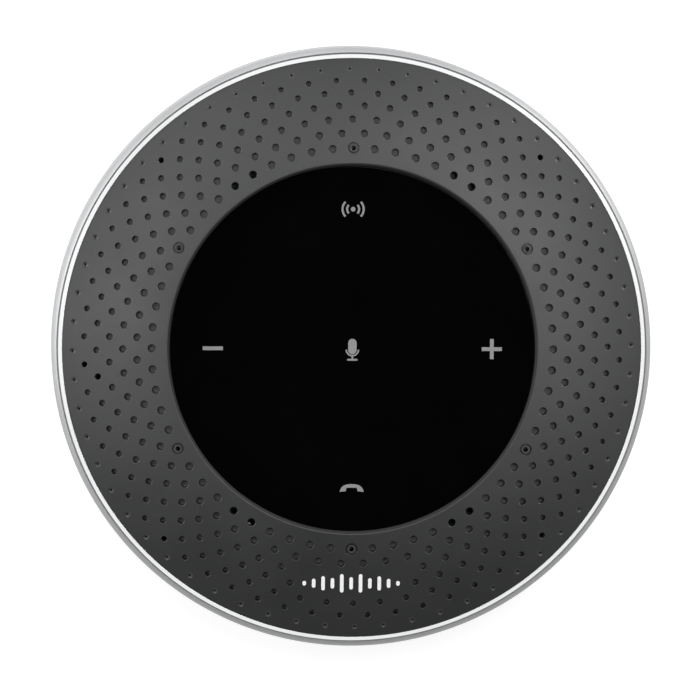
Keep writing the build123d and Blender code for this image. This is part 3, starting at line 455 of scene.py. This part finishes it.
def dome_normal(radius, angle):
    """Unit normal of the dome; it is the same for a surface below it."""
    outward = (radius - DOME_AXIS_RADIUS) / DOME_BEND
    upward = math.sqrt(1 - outward**2)
    return Vector((outward * math.cos(angle), outward * math.sin(angle), upward))


def ring_radius(k):
    return FIRST_RING_RADIUS + FIRST_RING_PITCH * k - PITCH_SHRINK * k * (k - 1)


def hole_radius(k):
    return (FIRST_HOLE_DIAMETER - HOLE_SHRINK * k) / 2


def hole_angle(k, n):
    """Angle of step n of ring k, in radians."""
    half_step = STEP_ANGLE / 2 if k % 2 else 0
    return math.radians(half_step + STEP_ANGLE * n + RING_TWIST * k)


def border_radius(j):
    """Radius of the circle between ring j - 1 and ring j."""
    if j == 0:
        return ring_radius(0) - INNER_MARGIN
    if j == HOLE_RINGS:
        return ring_radius(HOLE_RINGS - 1) + OUTER_MARGIN
    return (ring_radius(j - 1) + ring_radius(j)) / 2


class Cover:
    """Collects the cover's points, with their normals, and its faces."""

    def __init__(self):
        self.points, self.normals, self.faces, self.known = [], [], [], {}

    def point(self, position, normal, key=None):
        if key in self.known:
            return self.known[key]
        self.points.append(tuple(position))
        self.normals.append(tuple(normal))
        if key is not None:
            self.known[key] = len(self.points) - 1
        return len(self.points) - 1

    def surface_point(self, radius, angle, below, key=None):
        """A point on the dome, or on its underside when below isn't nought."""
        normal = dome_normal(radius, angle)
        position = (radius * math.cos(angle), radius * math.sin(angle), dome_z(radius, below))
        return self.point(position, -normal if below else normal, key)

    def border(self, k, n, below):
        """The border of a hole's cell, anticlockwise from its inner, lower-angle corner."""
        first = CELL_SIDE * n + (CELL_SIDE // 2 if k % 2 else 0) - CELL_SIDE // 2
        s = CELL_SIDE
        walk = [(i, 0) for i in range(s)] + [(s, t) for t in range(s)]
        walk += [(i, s) for i in range(s, 0, -1)] + [(0, t) for t in range(s, 0, -1)]
        loop = []
        for i, t in walk:
            index, circle = (first + i) % LATTICE, k + t / s
            inner, outer = border_radius(k), border_radius(k + 1)
            radius = inner + (outer - inner) * t / s
            angle = math.radians((first + i) * 360 / LATTICE + RING_TWIST * (circle - 0.5))
            loop.append(self.surface_point(radius, angle, below, (below, round(circle, 3), index)))
        return loop

    def circle(self, k, n, size, below=0.0, sink=None, lean=0.0):
        """A loop round a hole's axis, from the corner where its cell's border starts. Without
        sink it lies on the dome; with sink it is that far below it, and its normals lean from
        the dome's towards the axis."""
        middle = hole_angle(k, n)
        centre = Vector((math.cos(middle), math.sin(middle), 0)) * ring_radius(k)
        along = Vector((-math.sin(middle), math.cos(middle), 0))
        axis = dome_normal(ring_radius(k), middle)
        out = along.cross(axis)
        loop, steps = [], 4 * CELL_SIDE
        for m in range(steps):
            a = math.radians(-135 + 360 * m / steps)
            side = along * math.cos(a) + out * math.sin(a)
            spot = centre + side * size
            radius, angle = spot.to_2d().length, math.atan2(spot.y, spot.x)
            if sink is None:
                loop.append(self.surface_point(radius, angle, below))
                continue
            normal = dome_normal(radius, angle) * math.cos(lean) - side * math.sin(lean)
            position = Vector((spot.x, spot.y, dome_z(radius))) - axis * sink
            loop.append(self.point(position, normal.normalized()))
        return loop

    def between(self, loop, other, below):
        """A loop half way between two, on the dome."""
        middle = []
        for a, b in zip(loop, other):
            spot = (Vector(self.points[a]) + Vector(self.points[b])) / 2
            radius, angle = spot.to_2d().length, math.atan2(spot.y, spot.x)
            middle.append(self.surface_point(radius, angle, below))
        return middle

    def join(self, loop, inner, flip=False):
        """Faces between a loop and the next one towards a hole; flip turns them over."""
        for i in range(len(loop)):
            j = (i + 1) % len(loop)
            face = (loop[j], loop[i], inner[i], inner[j])
            self.faces.append(face[::-1] if flip else face)

    def cell(self, k, n, mouth, rings):
        """One cell with its hole: rings are the loops down from its mouth."""
        border = self.border(k, n, 0.0)
        edge = self.circle(k, n, mouth)
        halfway = self.between(border, edge, 0.0)
        self.join(border, halfway)
        self.join(halfway, edge)
        last = edge
        for size, sink, lean in rings:
            loop = self.circle(k, n, size, sink=sink, lean=lean)
            self.join(last, loop)
            last = loop
        self.join(last, self.border(k, n, COVER_WALL))

    def blank(self, k, n):
        """A cell without a hole, closed top and bottom."""
        for below, flip in ((0.0, False), (COVER_WALL, True)):
            border = self.border(k, n, below)
            heart = self.circle(k, n, BLANK_HEART, below=below)
            self.join(border, heart, flip)
            self.faces.append(tuple(heart if flip else heart[::-1]))

    def turned_strip(self, circle, below, profile):
        """Runs the lattice points of a border circle along (radius, z, normal) steps."""
        angles = [
            math.radians(i * 360 / LATTICE + RING_TWIST * (circle - 0.5)) for i in range(LATTICE)
        ]
        last = [self.known[(below, round(float(circle), 3), i)] for i in range(LATTICE)]
        loops = [last]
        for radius, z, (nr, nz) in profile:
            loop = []
            for a in angles:
                spot = (radius * math.cos(a), radius * math.sin(a), z)
                loop.append(self.point(spot, (nr * math.cos(a), nr * math.sin(a), nz)))
            loops.append(loop)
        return loops

    def finish_side(self, circle, profile, flip):
        """Takes one side of the cover along a profile, from its top round to its underside."""
        loops = self.turned_strip(circle, 0.0, profile)
        loops += self.turned_strip(circle, COVER_WALL, [])
        for loop, after in zip(loops, loops[1:]):
            self.join(loop, after, flip)


def rounded_edge(bore, edge_round, wall, round_steps=5):
    """Loops from a hole's rounded edge down its wall: (size, depth, lean of the normal)."""
    loops = []
    for i in range(1, round_steps + 1):
        a = math.radians(90 * i / round_steps)
        size = bore + edge_round * (1 - math.sin(a))
        loops.append((size, edge_round * (1 - math.cos(a)), a))
    return loops + [(bore, wall, math.radians(90))]


def dished_edge(mouth, bore, wall):
    """Loops of a hole that starts as a shallow cone and ends in a narrow bore."""
    slope, steep = math.radians(DISH_SLOPE), math.radians(75)
    rim, rim_sink, throat = 0.04, 0.01, 0.05
    start, end = mouth - rim, bore + throat
    sink = (start - end) * math.tan(slope) + rim_sink
    loops = [(start, rim_sink, slope), (end, sink, slope)]
    return loops + [(bore, sink + throat, steep), (bore, wall, math.radians(90))]


def microphone_rings():
    """Loops down a microphone's recess, in over its floor and down round the insert."""
    depth, gap = PORT_RECESS_DEPTH, 0.01
    loops = rounded_edge(PORT_RECESS_RADIUS, PORT_ROUND, depth)
    loops += [(PORT_RECESS_RADIUS - gap, depth, 0.0), (PORT_INSERT_RADIUS + gap, depth, 0.0)]
    return loops + [(PORT_INSERT_RADIUS, COVER_WALL, math.radians(90))]


def arc_profile(centre, radius, start, end, steps):
    """(radius, z, normal) steps round a corner, from one angle in degrees to another."""
    profile = []
    for i in range(steps + 1):
        a = math.radians(start + (end - start) * i / steps)
        nr, nz = math.cos(a), math.sin(a)
        profile.append((centre[0] + radius * nr, centre[1] + radius * nz, (nr, nz)))
    return profile


def dome_profile(start, end, steps):
    profile = []
    for i in range(steps + 1):
        radius = start + (end - start) * i / steps
        normal = dome_normal(radius, 0.0)
        profile.append((radius, dome_z(radius), (normal.x, normal.z)))
    return profile


def lip_profile():
    """From the first ring in over the rolled lip, down its skirt and back under the dome."""
    roll_radius, under, first_step, last_step = CREST_RADIUS - LIP_ROLL, LIP_SKIRT_RADIUS, 0.3, 0.05
    roll_start = 90 - math.degrees(CREST_TILT)
    profile = dome_profile(border_radius(0) - first_step, DOME_START_RADIUS + last_step, 3)
    profile += arc_profile((CREST_RADIUS, CREST_Z - LIP_ROLL), LIP_ROLL, roll_start, 180, 12)
    profile += [(roll_radius, LIP_SKIRT_Z, (-1, 0)), (roll_radius, LIP_SKIRT_Z, (0, -1))]
    profile += [(under, LIP_SKIRT_Z, (0, -1)), (under, LIP_SKIRT_Z, (1, 0))]
    return profile + [(under, dome_z(under, COVER_WALL), (1, 0))]


def edge_profile():
    """From the last ring out to the rounded edge, down the skirt and back under the dome."""
    edge, skirt, first_step = DOME_EDGE_RADIUS - EDGE_ROUND, DOME_EDGE_RADIUS - SKIRT_WALL, 0.3
    round_start = 90 - math.degrees(DOME_EDGE_TILT)
    profile = dome_profile(border_radius(HOLE_RINGS) + first_step, edge - EDGE_ROUND, 2)
    profile += arc_profile((edge, dome_z(edge) - EDGE_ROUND), EDGE_ROUND, round_start, 0, 6)
    profile += [(DOME_EDGE_RADIUS, SKIRT_Z, (1, 0)), (DOME_EDGE_RADIUS, SKIRT_Z, (0, -1))]
    profile += [(skirt, SKIRT_Z, (0, -1)), (skirt, SKIRT_Z, (-1, 0))]
    return profile + [(skirt, dome_z(skirt, COVER_WALL), (-1, 0))]


def hole_rings(k):
    """Mouth of the holes of ring k, and the loops below it."""
    mouth = hole_radius(k) + MOUTH_FLARE
    if k == HOLE_RINGS - 1:
        return mouth, dished_edge(mouth, DISH_BORE, COVER_WALL)
    return mouth, rounded_edge(mouth - HOLE_ROUND, HOLE_ROUND, COVER_WALL)


def top_cover():
    """Perforated dome, as one closed shell, with painted shade on its rolled lip: a darker, matt copy
    of its plastic.
    """
    cover = Cover()
    for k in range(HOLE_RINGS):
        for n in range(HOLES_PER_RING):
            if n in BLANK_PATCH.get(k, ()):
                cover.blank(k, n)
            elif k == 0 and n in MIC_STEPS:
                cover.cell(k, n, PORT_RECESS_RADIUS + PORT_ROUND, microphone_rings())
            else:
                cover.cell(k, n, *hole_rings(k))
    cover.finish_side(0, lip_profile(), flip=True)
    cover.finish_side(HOLE_RINGS, edge_profile(), flip=False)

    radii = [math.hypot(x, y) for x, y, z in cover.points]
    # faces on the roll take the darker lip copy: painted shade
    in_shaded_lip = [int(max(radii[i] for i in face) < SHADED_LIP_RADIUS) for face in cover.faces]
    materials = [MATERIALS["cover_plastic"], SHADED_LIP]
    piece = add_piece(
        "perforated_cover", cover.points, cover.faces, materials, in_shaded_lip, cover.normals, sharp=180
    )
    return stand_for(piece, "cover_plastic", "top_cover")


def microphone_inserts():
    """Six round inserts with a rounded rim and a small bore, a hair below the dome."""
    sunk = 0.02
    top = dome_z(ring_radius(0) + PORT_INSERT_RADIUS) - sunk
    bottom = box_mm("mic_port_inserts")[0][2]
    outline = rounded(
        [
            (PORT_BORE_RADIUS, bottom),
            (PORT_INSERT_RADIUS, bottom),
            (PORT_INSERT_RADIUS, top, 0.1),
            (PORT_BORE_RADIUS, top, 0.05),
        ]
    )
    points, faces = [], []
    for n in MIC_STEPS:
        a = hole_angle(0, n)
        centre = (ring_radius(0) * math.cos(a), ring_radius(0) * math.sin(a))
        more_points, more_faces = lathe(outline, 40, centre)
        faces += [tuple(i + len(points) for i in face) for face in more_faces]
        points += more_points
    piece = add_piece("microphone_inserts", points, faces, [MATERIALS["port_plastic"]])
    return stand_for(piece, "port_plastic", "mic_port_inserts")


# ---- metal band, panel, base and foot -------------------------------------------------------
def metal_band():
    """Satin band with a diamond-cut chamfer beside the cover and a fine groove between."""
    outer, bottom, top = BAND_HIGH[0], BAND_LOW[2], BAND_HIGH[2]
    side_top, shoulder, arc_middle = 27.6, (61.45, 30.85), (62.13, 29.55)
    seam, seam_depth, seam_half = 27.45, 0.10, 0.12
    groove_outer, groove, chamfer_outer = (61.34, 30.80), (61.21, 30.73), (61.07, 31.0)
    throat_gap, throat_round = 0.04, 0.03
    throat = DOME_EDGE_RADIUS + throat_gap
    ledge_inner, ledge_top, ledge_bottom, inner = 58.0, 29.6, 28.4, 61.0
    outline = rounded([(inner, bottom), (outer, bottom, 0.3), (outer, seam - 1)])[:-1]
    outline += [(outer, seam - seam_half), (outer - seam_depth, seam), (outer, seam + seam_half)]
    outline += arc_through((outer, side_top), arc_middle, shoulder, 14)
    outline += [groove_outer, groove]
    chamfer_start = len(outline)
    chamfer = rounded([chamfer_outer, (throat, top, throat_round), (throat, ledge_top)])
    outline += chamfer[:-1]
    chamfer_end = len(outline) - 1
    outline += [(throat, ledge_top), (ledge_inner, ledge_top), (ledge_inner, ledge_bottom)]
    outline += [(inner, ledge_bottom)]
    points, faces = lathe(outline)
    polished = range(chamfer_start, chamfer_end)
    face_materials = [int(i // LATHE_STEPS in polished) for i in range(len(faces))]
    materials = [MATERIALS["band_aluminium"], POLISHED_EDGE]
    piece = add_piece("metal_band", points, faces, materials, face_materials, sharp=25)
    return stand_for(piece, "band_aluminium", "trim_band")


def glass_panel():
    """Round cover glass, its face a hair below the symbols that lie in it."""
    sunk = 0.005
    radius, top, bottom = PANEL_HIGH[0], PANEL_HIGH[2] - sunk, PANEL_LOW[2]
    outline = rounded([(0, bottom), (radius, bottom), (radius, top, 0.12), (0, top)])
    piece = lathe_piece("glass_panel", outline, MATERIALS["panel_glass"])
    return stand_for(piece, "panel_glass", "touch_panel")


def slot_cutter(name, width, height, angle, depths):
    """Slot-shaped cutter lying outwards at an angle; depths are (y, growth) of its loops."""
    loops, points, faces = [], [], []
    for y, growth in depths:
        outline = obround(width + 2 * growth, height + 2 * growth)
        loops.append(list(range(len(points), len(points) + len(outline))))
        points += [(x, y, PORT_Z + z) for x, z in outline]
    for loop, after in zip(loops, loops[1:]):
        faces += quads_between(loop, after)
    faces += [tuple(loops[0]), tuple(reversed(loops[-1]))]
    mesh = bpy.data.meshes.new(name)
    mesh.from_pydata([tuple(v * MM for v in p) for p in points], [], faces)
    mesh.transform(Matrix.Rotation(angle, 4, "Z"))
    cutter = bpy.data.objects.new(name, mesh)
    bpy.context.collection.objects.link(cutter)
    return cutter


def cut_openings(piece, cutters, sharp):
    """Takes the cutters out of a piece and removes them."""
    for cutter in cutters:
        modifier = piece.modifiers.new(cutter.name, "BOOLEAN")
        modifier.operation, modifier.solver, modifier.object = "DIFFERENCE", "EXACT", cutter
    graph = bpy.context.evaluated_depsgraph_get()
    mesh = bpy.data.meshes.new_from_object(piece.evaluated_get(graph))
    piece.modifiers.clear()
    piece.data = mesh
    finish_shading(mesh, sharp)
    flatten_faces(piece)
    for cutter in cutters:
        bpy.data.objects.remove(cutter)


def base_bowl():
    """Black base: shoulder under the band, curved wall, flat underside with the foot's seat."""
    shoulder, shoulder_z = BASE_HIGH[0], 14.5
    wall_foot, flat, heel = (61.2, 9.0), (52.0, BASE_LOW[2]), (57.6, 3.55)
    seat_inner, seat_outer, seat_z, seat_round = 37.9, 48.1, 2.2, 0.15
    label_radius, label_z = 26.3, BASE_LOW[2] + LABEL_SEAT_DEPTH
    step_radius, step_z = 61.3, 15.0
    collar_outer, collar_inner, collar_top = 60.7, 58.2, 22.4
    inner_wall, inner_foot, inner_heel, floor_edge = 13.5, (58.9, 9.4), (55.9, 5.2), (51.0, 3.4)
    outline = rounded(
        [
            (0, label_z),
            (label_radius, label_z),
            (label_radius, flat[1], 0.1),
            (seat_inner, flat[1], seat_round),
            (seat_inner, seat_z),
            (seat_outer, seat_z),
            (seat_outer, flat[1], seat_round),
            flat,
        ]
    )
    outline += arc_through(flat, heel, wall_foot, 18)
    rim = [wall_foot, (shoulder, shoulder_z, 0.25), (step_radius, shoulder_z), (step_radius, step_z)]
    outline += rounded(rim)[1:]
    outline += [(collar_outer, step_z), (collar_outer, collar_top)]
    outline += [(collar_inner, collar_top), (collar_inner, inner_wall), inner_foot]
    outline += arc_through(inner_foot, inner_heel, floor_edge, 8) + [(0, floor_edge[1])]
    piece = lathe_piece("base_bowl", outline, MATERIALS["base_plastic"], sharp=30)
    usb_gap, button_gap = 0.6, 0.4
    usb_width, usb_height = USB_HIGH[0] - USB_LOW[0] + usb_gap, USB_HIGH[2] - USB_LOW[2] + usb_gap
    button_width, button_height = BUTTON_WIDTH + button_gap, BUTTON_HEIGHT + button_gap
    usb_mouth = [(54.0, 0.0), (60.9, 0.0), (61.2, 0.12), (61.6, 0.5), (64.0, 0.5)]
    button_mouth = [(54.0, 0.0), (61.0, 0.0), (61.3, 0.1), (61.7, 0.35), (64.0, 0.35)]
    cutters = [
        slot_cutter("usb_cut", usb_width, usb_height, 0.0, usb_mouth),
        slot_cutter("button_cut", button_width, button_height, BUTTON_ANGLE, button_mouth),
    ]
    cut_openings(piece, cutters, 30)
    return stand_for(piece, "base_plastic", "base_housing")


def foot_pad():
    """Rubber foot ring with three fine grip grooves in its underside."""
    inner, outer, top, edge_round = 38.0, FOOT_HIGH[0], FOOT_HIGH[2], 0.5
    mouth_half, floor_half, groove_depth, groove_round = 0.5, 0.2, 0.3, 0.12
    corners = [(inner, top), (inner, 0, edge_round)]
    for radius in (40.5, 43.0, 45.5):
        corners += [(radius - mouth_half, 0, groove_round), (radius - floor_half, groove_depth)]
        corners += [(radius + floor_half, groove_depth), (radius + mouth_half, 0, groove_round)]
    corners += [(outer, 0, edge_round), (outer, top)]
    piece = lathe_piece("foot_pad", rounded(corners), MATERIALS["foot_rubber"])
    return stand_for(piece, "foot_rubber", "foot_ring")


def label_disc():
    """Blank film disc, lying a little above the base's underside in its own shallow seat."""
    radius, top, edge_round = LABEL_HIGH[0], LABEL_HIGH[2], 0.04
    face = BASE_LOW[2] + 0.1
    outline = rounded([(0, top), (0, face), (radius, face, edge_round), (radius, top)])
    piece = lathe_piece("blank_label_disc", outline, MATERIALS["label_film"])
    return stand_for(piece, "label_film", "blank_label")


# ---- power button ---------------------------------------------------------------------------
def on_button(x, z, proud=0.0):
    """A point of the button's curved face, x across and z up from its centre."""
    return (x, math.sqrt((BUTTON_FACE_RADIUS + proud) ** 2 - x * x), PORT_Z + z)


def turned_to_button(points):
    turn = Matrix.Rotation(BUTTON_ANGLE, 4, "Z")
    return [tuple(turn @ Vector(p)) for p in points]


def push_button():
    """Slot-shaped cap with a soft edge, on the flange that keeps it in the wall."""
    edge, edge_steps = 0.35, 5
    flange_back, flange_front = 57.2 - BUTTON_FACE_RADIUS, 57.8 - BUTTON_FACE_RADIUS
    flange_side, flange_lip = 1.0, 0.8
    sections = [(flange_side, flange_back, flange_lip), (flange_side, flange_front, flange_lip)]
    sections.append((0.0, flange_front, 0.0))
    for i in range(edge_steps + 1):
        a = math.radians(90 * i / edge_steps)
        shrink = -edge * (1 - math.cos(a))
        sections.append((shrink, edge * (math.sin(a) - 1), shrink))
    points, loops = [], []
    for widen, proud, heighten in sections:
        outline = obround(BUTTON_WIDTH + 2 * widen, BUTTON_HEIGHT + 2 * heighten, 12)
        loops.append(list(range(len(points), len(points) + len(outline))))
        points += [on_button(x, z, proud) for x, z in outline]
    faces = [tuple(loops[0])]
    for loop, after in zip(loops, loops[1:]):
        faces += quads_between(loop, after)
    face_loop = loops[-1]
    for i in range(len(face_loop) // 2 - 1):
        faces.append((face_loop[i], face_loop[-1 - i], face_loop[-2 - i], face_loop[i + 1]))
    piece = add_piece("push_button", turned_to_button(points), faces, [MATERIALS["button_plastic"]])
    return stand_for(piece, "button_plastic", "power_button", body="power_button")


def button_symbol():
    """The plain on-off sign, a broken ring and a bar, printed on the button's face."""
    inner, outer, gap, proud, steps = 0.52, 0.72, 42, 0.012, 40
    bar_half, bar_bottom, bar_top = 0.1, 0.05, 0.85
    points, faces = [], []
    for i in range(steps + 1):
        a = math.radians(90 + gap + (360 - 2 * gap) * i / steps)
        points += [on_button(r * math.cos(a), r * math.sin(a), proud) for r in (inner, outer)]
        if i:
            k = 2 * i
            faces.append((k - 2, k, k + 1, k - 1))
    bar = len(points)
    corners = [(-bar_half, bar_bottom), (bar_half, bar_bottom)]
    corners += [(bar_half, bar_top), (-bar_half, bar_top)]
    points += [on_button(x, z, proud) for x, z in corners]
    faces.append((bar + 3, bar + 2, bar + 1, bar))
    piece = add_piece("button_symbol", turned_to_button(points), faces, [MATERIALS["mark_ink"]])
    return stand_for(piece, "mark_ink", body="power_button")


# ---- floor, light and camera ----------------------------------------------------------------
FLOOR_HALF, FLOOR_GLOW = 1.5, 0.72

# brightness of the surround at heights from the horizon, 0, to overhead, 1, and how much of it
# is left at the front and at the rear
SKY = [(0.0, 0.15), (0.18, 0.25), (0.26, 1.25), (0.46, 1.25), (0.56, 0.16), (0.70, 0.05)]
SKY += [(0.92, 0.04), (0.97, 0.0), (1.0, 0.0)]
SIDES = (0.85, 1.0)

# every light hangs this far from the object; the high ones are square
LIGHT_AWAY, BOX_SIDE, STRIP_HEIGHT = 0.60, 0.22, 0.12


def floor():
    """Plain white sheet under the object, lit from within, and clear when seen from below."""
    half = FLOOR_HALF
    mesh = bpy.data.meshes.new("floor")
    corners = [(-half, -half, 0), (half, -half, 0), (half, half, 0), (-half, half, 0)]
    mesh.from_pydata(corners, [], [(0, 1, 2, 3)])
    sheet = bpy.data.objects.new("floor", mesh)
    bpy.context.collection.objects.link(sheet)
    material, shader, add, link = node_material("floor_white")
    shader.inputs["Base Color"].default_value = (0.45, 0.45, 0.45, 1)
    shader.inputs["Roughness"].default_value = 0.9
    shader.inputs["Emission Color"].default_value = (1, 1, 1, 1)
    shader.inputs["Emission Strength"].default_value = FLOOR_GLOW
    side = add("ShaderNodeNewGeometry")
    clear = add("ShaderNodeBsdfTransparent")
    mix = add("ShaderNodeMixShader")
    output = material.node_tree.nodes["Material Output"]
    link(side.outputs["Backfacing"], mix.inputs[0])
    link(shader.outputs[0], mix.inputs[1])
    link(clear.outputs[0], mix.inputs[2])
    link(mix.outputs[0], output.inputs["Surface"])
    mesh.materials.append(material)


def studio_world():
    """Bright surround up to a low height, then a fall to near darkness overhead."""
    world = bpy.data.worlds.new("studio")
    bpy.context.scene.world = world
    world.use_nodes = True
    tree = world.node_tree
    add, link = tree.nodes.new, tree.links.new
    where, split = add("ShaderNodeTexCoord"), add("ShaderNodeSeparateXYZ")
    link(where.outputs["Generated"], split.inputs[0])
    ramp = add("ShaderNodeValToRGB")
    stops = ramp.color_ramp.elements
    stops[0].position, stops[0].color = 0.0, (*[SKY[0][1]] * 3, 1)
    stops[1].position, stops[1].color = 1.0, (*[SKY[-1][1]] * 3, 1)
    for height, level in SKY[1:-1]:
        stop = stops.new(height)
        stop.color = (level, level, level, 1)
    link(split.outputs["Z"], ramp.inputs["Fac"])
    side = add("ShaderNodeMapRange")
    for socket, value in zip(("From Min", "From Max", "To Min", "To Max"), (-1, 1, *SIDES)):
        side.inputs[socket].default_value = value
    link(split.outputs["Y"], side.inputs["Value"])
    background = tree.nodes["Background"]
    link(ramp.outputs["Color"], background.inputs["Color"])
    link(side.outputs["Result"], background.inputs["Strength"])


def softbox(name, turn, lift, width, height, power):
    """Area light at an angle round from +X and up from the floor, aimed at the object."""
    a, e = math.radians(turn), math.radians(lift)
    place = Vector((math.cos(e) * math.cos(a), math.cos(e) * math.sin(a), math.sin(e))) * LIGHT_AWAY
    lamp = bpy.data.lights.new(name, "AREA")
    lamp.shape, lamp.size, lamp.size_y, lamp.energy = "RECTANGLE", width, height, power
    box = bpy.data.objects.new(name, lamp)
    box.location = place
    box.rotation_euler = (Vector((0, 0, 0.03)) - place).to_track_quat("-Z", "Y").to_euler()
    bpy.context.collection.objects.link(box)


def lights():
    """Five high boxes for the dome, and three low strips for the band and its chamfer."""
    softbox("right_box", 42, 72, BOX_SIDE, BOX_SIDE, 0.69)
    softbox("right_low_box", 49, 52, BOX_SIDE, BOX_SIDE, 0.33)
    softbox("right_side_box", -2, 65, BOX_SIDE, BOX_SIDE, 0.42)
    softbox("rear_box", 127, 63, BOX_SIDE, BOX_SIDE, 0.46)
    softbox("left_box", 179, 65, BOX_SIDE, BOX_SIDE, 0.70)
    softbox("left_strip", 165, 8, 0.50, STRIP_HEIGHT, 4.2)
    softbox("right_strip", 38, 8, 0.50, STRIP_HEIGHT, 4.2)
    softbox("rear_strip", 105, 8, 0.30, STRIP_HEIGHT, 1.5)


def camera():
    """Looks almost straight down from far off, a little from the rear left."""
    away, turn = 1.8, math.radians(0.3)
    place, aim = Vector((-0.0674, 0.1023, away)), Vector((-0.00034, -0.00051, 0.030))
    lens = bpy.data.cameras.new("camera")
    lens.sensor_width, lens.lens = 36.0, 438.3
    lens.clip_start, lens.clip_end = 0.1, 10.0
    eye = bpy.data.objects.new("camera", lens)
    gaze = (aim - place).normalized()
    right = gaze.cross(Vector((0, 1, 0))).normalized()
    up = right.cross(gaze)
    pose = Matrix((right, up, -gaze)).transposed().to_4x4()
    eye.matrix_world = Matrix.Translation(place) @ pose @ Matrix.Rotation(turn, 4, "Z")
    bpy.context.collection.objects.link(eye)
    bpy.context.scene.camera = eye


def main():
    bpy.context.scene.view_settings.view_transform = "Standard"
    camera()
    studio_world()
    lights()
    floor()
    dress_packed_nodes()
    top_cover()
    microphone_inserts()
    metal_band()
    glass_panel()
    base_bowl()
    foot_pad()
    label_disc()
    push_button()
    button_symbol()


main()
